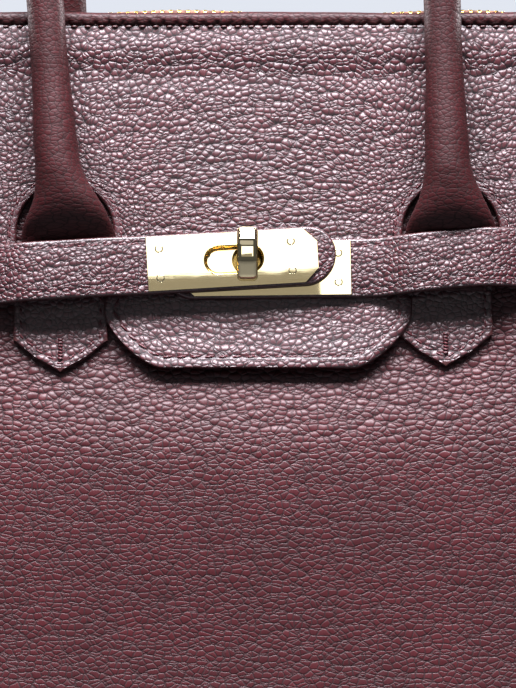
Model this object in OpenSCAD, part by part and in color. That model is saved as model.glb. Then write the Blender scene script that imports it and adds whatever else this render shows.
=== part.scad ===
// Structured leather handbag with a front flap, two belt straps over a turn-lock,
// two rolled top handles and an open zip along the rim.
// The front faces -Y and the feet stand on the XY plane.

/* [Body] */
// Width of the body along its base
base_w = 300; // [260:1:340]
// Width of the body at the rim
rim_w = 286; // [250:1:330]
// Depth of the body at its base
base_d = 156; // [130:1:180]
// Depth of the body at the rim
rim_d = 98; // [84:1:120]
// Height of the panels, from the base to the rim
body_h = 221; // [200:1:260]
// Thickness of the outer leather
leather_t = 2.2; // [1.6:0.1:3]
// How far each gusset folds in at the rim
gusset_fold = 28; // [10:1:36]
// Thickness of the lining
lining_t = 0.8; // [0.5:0.1:1.2]
// Thickness of the board in the base
board_t = 2; // [1:0.1:3]

/* [Feet] */
// Height of a foot below the base
foot_h = 6; // [3:0.5:10]
// Radius of a foot
foot_r = 7; // [4:0.5:10]
// Distance of a foot's centre from the base's edges
foot_inset = 22; // [14:1:34]

/* [Flap] */
// Thickness of the flap's outer leather
flap_t = 1.8; // [1.2:0.1:2.4]
// Thickness of the flap's backing
flap_lining_t = 1.1; // [0.8:0.1:1.6]
// Distance from the rim down to the flap's side edges
flap_side_drop = 82; // [78:0.5:86]
// Distance from the rim down to the top of each arch
arch_drop = 54; // [50:0.5:60]
// Radius of each arch
arch_r = 15.7; // [14:0.1:18]
// Width of the tongue below the straps
tongue_w = 99; // [92:1:104]
// Width of the tongue's straight lower edge
tongue_foot_w = 62; // [50:1:84]
// Distance from the rim down to the tongue's lower edge
tongue_drop = 112; // [106:0.5:124]
// Height of the tongue's rounded corners
tongue_corner_h = 18; // [8:0.5:20]

/* [Handles] */
// Radius of the rolled grip
grip_r = 6; // [5:0.1:7]
// Radius of a leg where it bends
foot_leg_r = 7; // [6.5:0.1:8]
// Radius of the core inside the grip
core_r = 3.6; // [2.5:0.1:4]
// Radius of the handle's arch
handle_arch_r = 64.4; // [60:0.1:68]
// Height of the arch's centre above the rim
handle_arch_rise = 32; // [20:1:50]
// Angle by which the legs lean outward
leg_lean = 1.6; // [0.5:0.1:3]
// Distance from the rim down to the bend of the legs
bend_drop = 48; // [45:0.5:52]
// Distance of a leg's centre in front of the panel
handle_out = 11.2; // [11:0.1:13]
// Half of the flared base's width
flare_r = 14.5; // [13:0.1:15]
// Thickness of the pointed tab
tab_t = 1.2; // [0.8:0.1:1.2]
// Half of the pointed tab's width
tab_r = 15.2; // [14.6:0.1:16]
// Distance from the rim down to the tab's shoulders
tab_shoulder_drop = 101; // [96:0.5:106]
// Distance from the rim down to the tab's tip
tab_tip_drop = 113; // [108:0.5:120]

/* [Straps] */
// Width of a strap
strap_w = 19; // [17:0.1:21]
// Thickness of a strap
strap_t = 1.8; // [1.4:0.1:2.2]
// Distance from the rim down to the straps' centre line
strap_drop = 79.5; // [78.5:0.1:80.5]
// Angle by which the left strap rises towards its tip
strap_left_tilt = 3.4; // [0:0.1:3.6]
// Angle by which the right strap falls towards its tip
strap_right_tilt = 0.7; // [0:0.1:1]
// How much lower the right strap hangs by the lock
strap_right_sink = 2.8; // [0:0.1:3]
// Place of the left strap's rounded tip
strap_left_tip_x = 25; // [23:0.1:27]
// Place of the right strap's rounded tip
strap_right_tip_x = -30; // [-34:0.1:-28]
// How far each strap reaches round onto the back
strap_back_run = 42; // [30:1:50]

/* [Plates and lock] */
// Length of a plate
plate_l = 54.7; // [50:0.1:58]
// Width of a plate
plate_w = 17.5; // [16:0.1:18.5]
// Thickness of a plate
plate_t = 0.8; // [0.6:0.1:0.9]
// Cut at a plate's two inner corners
plate_chamfer = 4.4; // [2:0.1:6]
// Place of the left plate's outer end
plate_left_x = -35.5; // [-37:0.1:-34]
// Place of the right plate's outer end
plate_right_x = 29.8; // [28:0.1:31]
// Length of the slots that pass over the turning bar
slot_l = 19.4; // [18.6:0.1:22]
// Width of the slots
slot_w = 9.6; // [9:0.1:10]
// Place of the lock's axis
lock_x = -3.4; // [-5:0.1:0]
// Place of the middle of the left plate's slot
slot_left_x = -7.7; // [-8.2:0.1:-5]
// Place of the middle of the right plate's slot
slot_right_x = 1.4; // [-2:0.1:1.5]
// Length of the turning bar
toggle_l = 17; // [14:0.1:17.5]
// Width of the turning bar
toggle_w = 6.6; // [5.5:0.1:7.5]
// Thickness of the turning bar at its middle
toggle_t = 4.8; // [3.5:0.1:6]
// Outer radius of the lock's post
post_r = 3; // [2.7:0.1:3.3]
// Radius of the spindle inside the post
spindle_r = 1.45; // [1.2:0.05:1.6]
// Radius of a plate rivet's head
rivet_head_r = 1.4; // [1.1:0.1:1.6]

/* [Zip] */
// Distance between teeth on one side
tooth_pitch = 2.8; // [2.6:0.05:3.2]
// Mean height of the open tape's edge above the rim
tape_rise = 2; // [1.6:0.1:4]
// Height of the soft waves in the open tape's edge
tape_wave_h = 0.8; // [0:0.1:0.9]
// Height of the closed stretch above the rim
zip_flat_rise = 2.4; // [2.4:0.1:5]
// Width of each tape
tape_w = 13; // [10:0.5:16]
// Thickness of each tape
tape_t = 0.6; // [0.4:0.1:0.8]
// Place where the open zip starts
zip_start_x = -104; // [-108:0.5:-96]
// Place where the rows begin to draw together
zip_turn_x = 76; // [60:1:78]
// Place where the rows run side by side
zip_pair_x = 104; // [100:0.5:104.5]
// Place where the rows mesh
zip_mesh_x = 122; // [121.5:0.5:125]
// Place of the zip's closed end
zip_end_x = 133.5; // [132:0.5:136]
// Length of the puller
puller_l = 24; // [16:0.5:30]

/* [Hidden] */
$fn = 48;

// Clearances: between sewn pieces, between layers that can move, and for pins
sewn_gap = 0.1;
layer_gap = 0.3;
spindle_gap = 0.05;
// How far a cut runs past the piece it cuts
overrun = 1;

// Heights and the slope of the front and back
panel_z = foot_h + leather_t + sewn_gap;
slope = atan((base_d - rim_d) / 2 / body_h);
panel_l = body_h / cos(slope);
rim_z = panel_z + body_h;

// Layers in front of the panel, as distances from its outer face
lining_out = sewn_gap;
flap_out = lining_out + max(flap_lining_t, tab_t) + sewn_gap;
flap_face = flap_out + flap_t;
strap_low_out = flap_face + layer_gap;
strap_high_out = strap_low_out + strap_t + plate_t + 2 * layer_gap;
strap_side_out = flap_face + layer_gap;
strap_handle_out = 8.6;
top_plate_face = strap_high_out + strap_t + sewn_gap + plate_t;
toggle_out = top_plate_face + 2 * layer_gap;

// Layers behind the panel's outer face
binding_wall = 1;
binding_leg = 4.4;
backing_t = 0.8;
tape_in = leather_t + 2 * sewn_gap + binding_wall;
lining_in = tape_in + tape_t + sewn_gap;

// Places along the panel
strap_v = panel_l - strap_drop;
strap_bend_r = strap_side_out;
lock_v = strap_v + slot_w / 2 - post_r - layer_gap;
bend_v = panel_l - bend_drop;
arch_v = panel_l + handle_arch_rise;
leg_l = (arch_v - handle_arch_r * sin(leg_lean) - bend_v) / cos(leg_lean);
leg_foot_x = handle_arch_r * cos(leg_lean) - leg_l * sin(leg_lean);
arch_foot_v = panel_l - arch_drop - arch_r;

// Zip plane and its two rows
zip_z = rim_z + zip_flat_rise;
tooth_h = 1.7;
tooth_l = 1.1;
tooth_t = 2.2;
tooth_gap = 0.15;
bridge_half_w = 0.5;
pair_gap = 2 * (tooth_h + bridge_half_w + layer_gap);
mesh_gap = tooth_h + 2 * tooth_gap;
tape_wave_l = 90;
tape_crest_x = -24;

function mix(a, b, s) = a + (b - a) * s;
function ease(s) = let (c = max(0, min(1, s))) c * c * (3 - 2 * c);
function arc(cx, cy, r, from, to, steps = 12) =
    [for (i = [0:steps]) let (a = mix(from, to, i / steps)) [cx + r * cos(a), cy + r * sin(a)]];
function mirrored(points) = [for (i = [len(points) - 1:-1:0]) [-points[i][0], points[i][1]]];

// A point given across, in front of and along the sloping front
function front_point(x, out, v) =
    [x, -base_d / 2 - out * cos(slope) + v * sin(slope), panel_z + out * sin(slope) + v * cos(slope)];

// A skin through closed rings with the same even number of points, closed by a strip across each end
module loft(rings) {
    n = len(rings[0]);
    last = len(rings) - 1;
    points = [for (ring = rings) for (p = ring) p];
    sides = [for (i = [0:last - 1]) for (j = [0:n - 1]) let (k = (j + 1) % n, a = i * n, b = a + n)
        each [[a + j, b + j, b + k], [a + j, b + k, a + k]]];
    strip = [for (j = [0:n / 2 - 2]) let (c = n - 2 - j, d = n - 1 - j) each [[j, j + 1, c], [j, c, d]]];
    last_cap = [for (f = strip) [last * n + f[2], last * n + f[1], last * n + f[0]]];
    polyhedron(points, concat(sides, strip, last_cap), convexity = 8);
}

// Children drawn upright, in front of Y = 0, are laid on the sloping front or back
module on_front() {
    translate([0, -base_d / 2, panel_z]) rotate([-slope, 0, 0]) children();
}
module on_back() {
    mirror([0, 1, 0]) on_front() children();
}

// A flat piece of an outline across and along the front, between two distances from the panel
module layer(out, thickness) {
    translate([0, -out, 0]) rotate([90, 0, 0]) linear_extrude(thickness) children();
}

// Shell

function half_w(s) = mix(base_w, rim_w, s) / 2;
function half_d(s) = mix(base_d, rim_d, s) / 2;
function panel_inner(s, depth) = half_d(s) - depth / cos(slope);
fold_power_share = 1.6;
fold_steps = 12;
lining_slack = 1.2;
height_steps = 6;
fold_base_share = 0.03;
function fold_in(y, s) = let (
        up_share = mix(fold_base_share, 1, pow(s, fold_power_share)),
        middle_share = pow(cos(90 * min(1, abs(y) / half_d(s))), fold_power_share))
    gusset_fold * up_share * middle_share;
function side_row(s, depth, inset) = let (d = panel_inner(s, depth) - sewn_gap)
    [for (j = [0:fold_steps]) let (y = mix(-d, d, j / fold_steps))
        [half_w(s) - inset - fold_in(y, s), y, panel_z + s * body_h]];
function reversed(list) = [for (i = [len(list) - 1:-1:0]) list[i]];
function across(list) = [for (p = reversed(list)) [-p[0], p[1], p[2]]];

// A panel's lower edge is set up a little, so that its tilted inner corner clears the base
module panel() {
    low = leather_t * tan(slope);
    color("#5a2c33") layer(-leather_t, leather_t)
        polygon([[-base_w / 2, low], [base_w / 2, low], [rim_w / 2, panel_l], [-rim_w / 2, panel_l]]);
}

module front_panel() {
    difference() {
        on_front() panel();
        on_front() lock_hole(post_r + sewn_gap, -leather_t - overrun, overrun);
    }
}

module back_panel() {
    on_back() panel();
}

module base_panel() {
    color("#54282f") translate([-base_w / 2, -base_d / 2, foot_h]) difference() {
        cube([base_w, base_d, leather_t]);
        at_feet() translate([0, 0, -overrun]) cylinder(h = leather_t + 2 * overrun, r = foot_shank_r);
    }
}

// Each gusset is notched where the rolled edges reach down inside the panels
module binding_room() {
    layer(-tape_in, tape_in + overrun) translate([-base_w / 2, panel_l - binding_leg - sewn_gap])
        square([base_w, binding_leg + overrun]);
}
module gusset() {
    color("#5a2c33") difference() {
        loft([for (i = [0:height_steps]) let (s = i / height_steps)
            concat(side_row(s, leather_t, 0), reversed(side_row(s, leather_t, leather_t)))]);
        on_front() binding_room();
        on_back() binding_room();
    }
}

// The inner bag: one skin up the outside and down the inside
lining_floor = board_t + 2 * sewn_gap;
lining_drop = tape_w - tape_rise + layer_gap;
function lining_ring(s, extra, z) = let (
        row = side_row(s, lining_in + extra, leather_t + lining_slack + extra),
        ring = concat(row, across(row)))
    [for (p = ring) [p[0], p[1], z]];
module lining() {
    bottom_share = lining_floor / body_h;
    top_share = 1 - lining_drop / body_h;
    color("#8a6a5c") loft(concat(
        [for (i = [0:height_steps]) let (s = mix(bottom_share, top_share, i / height_steps))
            lining_ring(s, 0, panel_z + s * body_h)],
        [for (i = [height_steps:-1:0]) let (s = mix(bottom_share, top_share, i / height_steps))
            lining_ring(s, lining_t, panel_z + s * body_h + (i == 0 ? lining_t : 0))]));
}

pocket_w = 140;
pocket_h = 95;
pocket_drop = 52;
pocket_t = 1;
module inner_pocket() {
    color("#7d5f52") on_back() layer(-lining_in - lining_t - 2 * sewn_gap - pocket_t, pocket_t)
        translate([-pocket_w / 2, panel_l - pocket_drop - pocket_h]) square([pocket_w, pocket_h]);
}

stiffener_margin = 5;
module base_stiffener() {
    color("#8c8478") translate([-base_w / 2 + stiffener_margin, -base_d / 2 + stiffener_margin, panel_z])
        cube([base_w - 2 * stiffener_margin, base_d - 2 * stiffener_margin, board_t]);
}

// Four metal studs: a dome, a collar and a shank through the base leather
foot_shank_r = 1.5;
foot_collar_share = 0.25;
module at_feet() {
    for (x = [foot_inset, base_w - foot_inset], y = [foot_inset, base_d - foot_inset])
        translate([x, y, 0]) children();
}
module feet() {
    face_r = foot_r / 2;
    collar_z = foot_h * (1 - foot_collar_share);
    color("#d8c07a") translate([-base_w / 2, -base_d / 2, 0]) at_feet() rotate_extrude()
        polygon(concat([[0, 0], [face_r, 0]],
            [for (a = [-75:15:0]) [face_r + (foot_r - face_r) * cos(a), collar_z * (1 + sin(a))]],
            [[foot_r, foot_h - sewn_gap], [foot_shank_r - sewn_gap, foot_h - sewn_gap],
             [foot_shank_r - sewn_gap, foot_h + leather_t], [0, foot_h + leather_t]]));
}

// Flap

// The sides end short of the body's edges, where the straps bend round
tongue_step = 2;
corner_power_share = 1.4;
function half_flap(grow) = let (
        side_x = half_w(1) - strap_bend_r - grow,
        low_x = half_w(1 - flap_side_drop / body_h) - strap_bend_r - grow,
        side_v = panel_l - flap_side_drop,
        foot_v = panel_l - tongue_drop + grow,
        tongue_x = tongue_w / 2 - grow,
        corner_h = tongue_corner_h - grow,
        r = arch_r + grow)
    concat(
        [[side_x, panel_l], [low_x, side_v], [leg_foot_x + r, side_v]],
        arc(leg_foot_x, arch_foot_v, r, 0, 180, 20),
        [[leg_foot_x - r, strap_v - strap_w / 2], [tongue_x, strap_v - strap_w / 2 - tongue_step]],
        [for (a = [0:10:90])
            [mix(tongue_foot_w / 2, tongue_x, pow(cos(a), corner_power_share)),
             foot_v + corner_h * (1 - pow(sin(a), corner_power_share))]]);
module flap_outline(grow) {
    half = half_flap(grow);
    polygon(concat(half, mirrored(half)));
}

flap_lining_inset = 3.2;
module flap() {
    color("#5a2c33") on_front() difference() {
        layer(flap_out, flap_t) flap_outline(0);
        translate([0, 0, lock_v - strap_v]) slot_cut(flap_out, flap_t, lock_x, 0, -1);
    }
}
module flap_lining() {
    color("#4a2228") on_front() difference() {
        layer(lining_out, flap_lining_t) flap_outline(flap_lining_inset);
        lock_window();
    }
}

// A rolled strip over the top edges: an inverted U with rounded shoulders
module rim_binding(front_out, half_len) {
    low = -leather_t - sewn_gap;
    high = front_out + sewn_gap;
    outer_r = (high - low) / 2 + binding_wall;
    mid = (high + low) / 2;
    roof = panel_l + sewn_gap;
    rise_share = 0.45;
    dome = [for (a = [0:15:180])
        [mid + outer_r * cos(a), roof + binding_wall * mix(rise_share, 1, sin(a))]];
    color("#43201f") translate([-half_len, 0, 0]) rotate([90, 0, -90]) mirror([0, 0, 1])
        linear_extrude(2 * half_len) polygon(concat(
            [[high, panel_l - binding_leg], [high + binding_wall, panel_l - binding_leg]],
            dome,
            [[low - binding_wall, panel_l - binding_leg], [low, panel_l - binding_leg]],
            [[low, roof], [high, roof]]));
}

// Handles

// One round run along a leg, up over the arch and down the other leg. A stub on each leg joins it to the arch
spigot_share = 0.85;
module handle_run(r, foot_r_here, tail, rounded) {
    foot = rounded
        ? [for (a = [-90:10:0]) [foot_r_here * cos(a), foot_r_here * sin(a)]]
        : [[0, -tail], [foot_r_here, -tail]];
    stub_r = r * spigot_share;
    stub_l = leg_l + overrun;
    translate([0, -handle_out, 0]) {
        translate([0, 0, arch_v]) rotate([90, 0, 0]) rotate([0, 0, -leg_lean])
            rotate_extrude(angle = 180 + 2 * leg_lean, $fn = 96) translate([handle_arch_r, 0]) circle(r = r);
        for (side = [-1, 1])
            translate([side * leg_foot_x, 0, bend_v]) rotate([0, side * leg_lean, 0])
                rotate_extrude()
                    polygon(concat(foot, [[r, leg_l], [stub_r, leg_l], [stub_r, stub_l], [0, stub_l]]));
    }
}
module handle_cover() {
    color("#4e2226") difference() {
        handle_run(grip_r, foot_leg_r, 0, true);
        handle_run(core_r + sewn_gap, core_r + sewn_gap, foot_leg_r + overrun, false);
    }
}
module handle_core() {
    color("#b8a88c") handle_run(core_r, core_r, foot_leg_r / 2, false);
}

// The flared base: rings from a collar round the leg's bend down to a flat foot
collar_gap = 0.3;
collar_wall = 0.5;
collar_drop = 3;
bell_foot_out = 1.4;
bell_drop_share = [0, 0.12, 0.24, 0.34, 0.43, 0.52, 0.66, 0.82, 1];
bell_width_share = [0, 0.16, 0.42, 0.72, 0.9, 1, 1, 0.97, 0.9];
bell_front_share = [1, 0.97, 0.88, 0.66, 0.42, 0.26, 0.18, 0.08, 0];
bell_back_share = [1, 1, 1, 0.7, 0.25, 0, 0, 0, 0];
bell_sides = 20;
module handle_bell() {
    collar_r = foot_leg_r + collar_gap + collar_wall;
    top_v = bend_v - collar_drop;
    bell_l = top_v - (strap_v - strap_w / 2);
    seat_out = lining_out + tab_t / 2;
    difference() {
        loft([for (i = [len(bell_drop_share) - 1:-1:0]) let (
                a = mix(collar_r, flare_r, bell_width_share[i]),
                front = mix(bell_foot_out + tab_t, handle_out + collar_r, bell_front_share[i]),
                back = mix(seat_out, handle_out - collar_r, bell_back_share[i]))
            [for (k = [0:bell_sides - 1]) let (t = 360 * k / bell_sides)
                [leg_foot_x + a * cos(t), -(front + back) / 2 + (front - back) / 2 * sin(t),
                 top_v - bell_l * bell_drop_share[i]]]]);
        translate([leg_foot_x, -handle_out, bend_v]) sphere(r = foot_leg_r + collar_gap);
    }
}
module handle_tab() {
    top_v = arch_foot_v - layer_gap;
    side_slope_share = 0.55;
    shoulder = [tab_r, panel_l - tab_shoulder_drop];
    tip_v = panel_l - tab_tip_drop;
    layer(lining_out, tab_t) translate([leg_foot_x, 0]) polygon(concat(
        arc(0, top_v, tab_r, 0, 180),
        [[-shoulder[0], shoulder[1]],
         [-shoulder[0] * side_slope_share, mix(shoulder[1], tip_v, side_slope_share)],
         [0, tip_v],
         [shoulder[0] * side_slope_share, mix(shoulder[1], tip_v, side_slope_share)],
         shoulder]));
}
module handle_base(side) {
    color("#4e2226") mirror([side < 0 ? 1 : 0, 0, 0]) union() {
        handle_bell();
        handle_tab();
    }
}

// Straps

// Height of a strap's centre line along the panel: tilted and sunk by the lock, and level at the body's edges
strap_level_x = 84;
function side_tilt(side) = side < 0 ? strap_left_tilt : strap_right_tilt;
function side_sink(side) = side < 0 ? 0 : strap_right_sink;
function strap_line(x, side, corner_x) = let (
        lift = side * tan(side_tilt(side)) * (x - side * lock_x) - side_sink(side))
    strap_v + lift * (1 - ease((x - strap_level_x) / (corner_x - strap_level_x)));
module at_strap(side) {
    translate([lock_x, 0, strap_v - side_sink(side)]) rotate([0, -side_tilt(side), 0])
        translate([-lock_x, 0, -strap_v]) children();
}

// Stations along a strap: place, outward direction and up direction
plate_end = max(-plate_left_x, plate_right_x) + sewn_gap;
handle_edge_x = leg_foot_x + strap_w / 2;
function strap_out(x, lock_out) =
    x < handle_edge_x
        ? mix(lock_out, strap_handle_out, ease((x - plate_end) / (handle_edge_x - strap_w - plate_end)))
        : mix(strap_handle_out, strap_side_out, ease((x - handle_edge_x) / strap_w));
function station(x, y, turn, v) = let (
        tilt = slope * abs(cos(turn)),
        h = [sin(turn), -cos(turn), 0],
        up = [-h[0] * sin(tilt), -h[1] * sin(tilt), cos(tilt)],
        outward = [h[0] * cos(tilt), h[1] * cos(tilt), sin(tilt)])
    [[x, y, panel_z + v * cos(slope)], outward, up];
strap_steps = 24;
back_steps = 6;
function strap_stations(tip_x, lock_out, side) = let (
        share = strap_v / panel_l,
        edge_x = half_w((strap_v - strap_w / 2) / panel_l) + layer_gap,
        edge_y = half_d(share) + strap_side_out / cos(slope),
        sewn_y = half_d(share) + sewn_gap / cos(slope),
        corner_x = edge_x - strap_bend_r,
        corner_y = edge_y - strap_bend_r)
    concat(
        [for (i = [0:strap_steps]) let (x = mix(tip_x, corner_x, i / strap_steps))
            [front_point(x, strap_out(x, lock_out), strap_line(x, side, corner_x)),
             [0, -cos(slope), sin(slope)], [0, sin(slope), cos(slope)]]],
        [for (a = [15:15:75])
            station(corner_x + strap_bend_r * sin(a), -corner_y - strap_bend_r * cos(a), a, strap_v)],
        [station(edge_x, -corner_y, 90, strap_v), station(edge_x, corner_y, 90, strap_v)],
        [for (a = [105:15:165])
            station(corner_x + strap_bend_r * sin(a), corner_y - strap_bend_r * cos(a), a, strap_v)],
        [for (i = [0:back_steps]) let (s = i / back_steps, x = corner_x - (strap_back_run - strap_bend_r) * s)
            station(x, mix(edge_y, sewn_y, ease(2 * s)), 180, strap_v)]);
function strap_ring(st) = let (h = strap_w / 2, p = st[0], o = st[1] * strap_t, u = st[2] * h)
    [p - u, p + u, p + o + u, p + o - u];

// A strap drawn on the right side, with its tip rounded off
tip_round_share = 0.52;
module strap(tip_x, lock_out, side) {
    r = strap_w * tip_round_share;
    difference() {
        loft([for (st = strap_stations(tip_x, lock_out, side)) strap_ring(st)]);
        mirror([side < 0 ? 1 : 0, 0, 0]) on_front() at_strap(side) mirror([side < 0 ? 1 : 0, 0, 0])
            layer(lock_out - overrun, strap_t + 2 * overrun) difference() {
                translate([tip_x - overrun, strap_v - strap_w]) square([r + overrun, 2 * strap_w]);
                translate([tip_x + r, strap_v]) circle(r = r);
            }
        children();
    }
}
module strap_left() {
    color("#5a2c33") mirror([1, 0, 0]) strap(-strap_left_tip_x, strap_high_out, -1)
        mirror([1, 0, 0]) on_front() at_strap(-1) {
            slot_cut(strap_high_out, strap_t, slot_left_x, slot_collar_t + sewn_gap, -1);
            left_rivet_places() rivet_hole(strap_high_out, strap_t);
        }
}
module strap_right() {
    color("#5a2c33") strap(strap_right_tip_x, strap_low_out, 1) on_front() at_strap(1) {
        slot_cut(strap_low_out, strap_t, slot_right_x, slot_collar_t + sewn_gap, 1);
        right_rivet_places() rivet_hole(strap_low_out, strap_t);
    }
}

// Plates, rivets and lock

// The slots stay round the post, so the right one sits above its own strap's middle
module slot_outline(x, grow, side) {
    r = slot_w / 2 + grow;
    run = (slot_l - slot_w) / 2;
    translate([x, strap_v + side_sink(side)]) {
        for (side = [-1, 1]) translate([side * run, 0]) circle(r = r);
        translate([-run, -r]) square([2 * run, 2 * r]);
    }
}
module slot_cut(out, thickness, x, grow, side) {
    layer(out - overrun, thickness + 2 * overrun) slot_outline(x, grow, side);
}
module lock_hole(r, from, to) {
    translate([lock_x, -from, lock_v]) rotate([90, 0, 0]) cylinder(h = to - from, r = r);
}

rivet_inset = 4;
rivet_rows = plate_w - 2 * rivet_inset;
module at_rivets(x_near, x_far) {
    for (x = [x_near, x_far], row = [-1, 1]) translate([x, 0, strap_v + row * rivet_rows / 2]) children();
}
module left_rivet_places() {
    at_rivets(plate_left_x + rivet_inset, plate_left_x + plate_l - rivet_inset - plate_chamfer) children();
}
module right_rivet_places() {
    at_rivets(plate_right_x - rivet_inset, plate_right_x - plate_l + rivet_inset + plate_chamfer) children();
}
module rivet_hole(out, thickness) {
    translate([0, -out + overrun, 0]) rotate([90, 0, 0])
        cylinder(h = thickness + 2 * overrun, r = rivet_shank_r + sewn_gap / 2, $fn = 24);
}
rivet_shank_r = 0.8;
rivet_dome_h = 0.25;
rivet_top_share = 0.8;
module rivet(out) {
    face = strap_t + sewn_gap + plate_t;
    seat = face + sewn_gap / 2;
    top = face + rivet_dome_h;
    translate([0, -out, 0]) rotate([90, 0, 0]) rotate_extrude($fn = 24)
        polygon([[0, 0], [rivet_shank_r, 0], [rivet_shank_r, seat], [rivet_head_r, seat],
            [rivet_head_r * rivet_top_share, top], [0, top]]);
}

// A plate whose outer end is square and whose inner end has cut corners
module plate_outline() {
    c = plate_chamfer;
    h = plate_w / 2;
    polygon([[0, -h], [plate_l - c, -h], [plate_l, c - h], [plate_l, h - c], [plate_l - c, h], [0, h]]);
}

// The slot's metal collar reaches back through the strap's leather
slot_collar_t = 0.9;
module strap_plate(strap_face, outer_x, slot_x, side) {
    left = side < 0;
    out = strap_face + strap_t + sewn_gap;
    color("#e2d3a0") on_front() at_strap(side) difference() {
        union() {
            layer(out, plate_t) translate([outer_x, strap_v]) mirror([left ? 0 : 1, 0]) plate_outline();
            layer(strap_face, strap_t + sewn_gap + plate_t / 2) slot_outline(slot_x, slot_collar_t, side);
        }
        slot_cut(strap_face, strap_t + plate_t + sewn_gap, slot_x, 0, side);
        if (left) left_rivet_places() rivet_hole(out, plate_t);
        else right_rivet_places() rivet_hole(out, plate_t);
    }
}
module strap_left_plate() {
    strap_plate(strap_high_out, plate_left_x, slot_left_x, -1);
}
module strap_right_plate() {
    strap_plate(strap_low_out, plate_right_x, slot_right_x, 1);
}
module strap_left_rivets() {
    color("#d8c07a") on_front() at_strap(-1) left_rivet_places() rivet(strap_high_out);
}
module strap_right_rivets() {
    color("#d8c07a") on_front() at_strap(1) right_rivet_places() rivet(strap_low_out);
}

lock_plate_w = 24;
lock_plate_h = 13;
module lock_window() {
    layer(lining_out - overrun, flap_lining_t + 2 * overrun) translate([lock_x, lock_v])
        square([lock_plate_w + 2 * layer_gap, lock_plate_h + 2 * layer_gap], center = true);
}
module lock_base_plate() {
    color("#d8c07a") on_front() difference() {
        layer(lining_out, backing_t) translate([lock_x, lock_v])
            square([lock_plate_w, lock_plate_h], center = true);
        lock_hole(post_r + sewn_gap, -overrun, lining_out + backing_t + overrun);
    }
}
module lock_backing() {
    color("#9a9a96") on_front() difference() {
        lock_hole(lock_plate_h / 2, -leather_t - sewn_gap - backing_t, -leather_t - sewn_gap);
        lock_hole(post_r + sewn_gap, -leather_t - backing_t - overrun, 0);
    }
}

// The post is a tube, closed behind, that a spindle on the turning bar runs in
spindle_l = 8;
post_top = toggle_out - layer_gap;
module lock_post() {
    color("#d8c07a") on_front() difference() {
        lock_hole(post_r, -leather_t - sewn_gap - backing_t, post_top);
        lock_hole(spindle_r + spindle_gap, toggle_out - spindle_l - layer_gap, post_top + overrun);
    }
}
toggle_end_t_share = 0.55;
toggle_flat_share = 0.36;
module lock_toggle() {
    h = toggle_l / 2;
    color("#e2d3a0") on_front() union() {
        lock_hole(spindle_r, toggle_out - spindle_l, toggle_out);
        translate([lock_x - toggle_w / 2, -toggle_out, lock_v]) rotate([90, 0, 90]) linear_extrude(toggle_w)
            polygon([[0, -h], [0, h], [-toggle_t * toggle_end_t_share, h],
                [-toggle_t, h * toggle_flat_share], [-toggle_t, -h * toggle_flat_share],
                [-toggle_t * toggle_end_t_share, -h]]);
    }
}

// Zip: each tape stands along its rim in soft waves, turns flat and meets the other near one end

zip_side_base = 14;
zip_close_l = tape_w / 2;
function zip_turn(x) = ease((x - zip_turn_x) / (zip_pair_x - zip_turn_x));
function row_gap(x) = mix(pair_gap, mesh_gap, ease((x - zip_mesh_x + zip_close_l) / zip_close_l)) / 2;
function rim_point(x, v) = front_point(x, -tape_in - tape_t / 2, v);
function wave_rise(x) = tape_rise + tape_wave_h * cos(360 * (x - tape_crest_x) / tape_wave_l);
function tooth_edge(x) = let (s = zip_turn(x), open = rim_point(x, panel_l + wave_rise(x)))
    [x, mix(open[1], -row_gap(x), s), mix(open[2], zip_z, ease(s))];
function sewn_edge(x) = let (s = zip_turn(x), open = rim_point(x, panel_l - tape_w + tape_rise))
    [x, mix(open[1], -zip_side_base, s), mix(open[2], zip_z, s)];
function tape_ring(x) = let (
        low = sewn_edge(x), high = tooth_edge(x),
        d = (high - low) / norm(high - low),
        n = [0, -d[2], d[1]] * tape_t / 2)
    [low + n, low - n, high - n, high + n];
wave_steps = 24;
turn_steps = 24;
close_steps = 6;
module zip_tape() {
    tail_x = zip_start_x - tooth_pitch;
    close_x = zip_mesh_x - zip_close_l;
    color("#6b4438") loft([for (x = concat(
            [for (i = [0:wave_steps]) mix(tail_x, zip_turn_x, i / wave_steps)],
            [for (i = [1:turn_steps]) mix(zip_turn_x, zip_pair_x, i / turn_steps)],
            [for (i = [0:close_steps]) mix(close_x, zip_mesh_x, i / close_steps)],
            [zip_end_x]))
        tape_ring(x)]);
}

// The teeth keep their pitch along the tape's edge, so their places are looked up by the length run
mark_steps = 240;
zip_marks = [for (i = [0:mark_steps]) mix(zip_start_x, zip_end_x, i / mark_steps)];
function mark_gap(i) = i < mark_steps ? norm(tooth_edge(zip_marks[i + 1]) - tooth_edge(zip_marks[i])) : 0;
zip_run = [for (i = 0, run = 0; i <= mark_steps; run = run + mark_gap(i), i = i + 1) [run, zip_marks[i]]];
tooth_count = floor(zip_run[mark_steps][0] / tooth_pitch) - 1;

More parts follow.
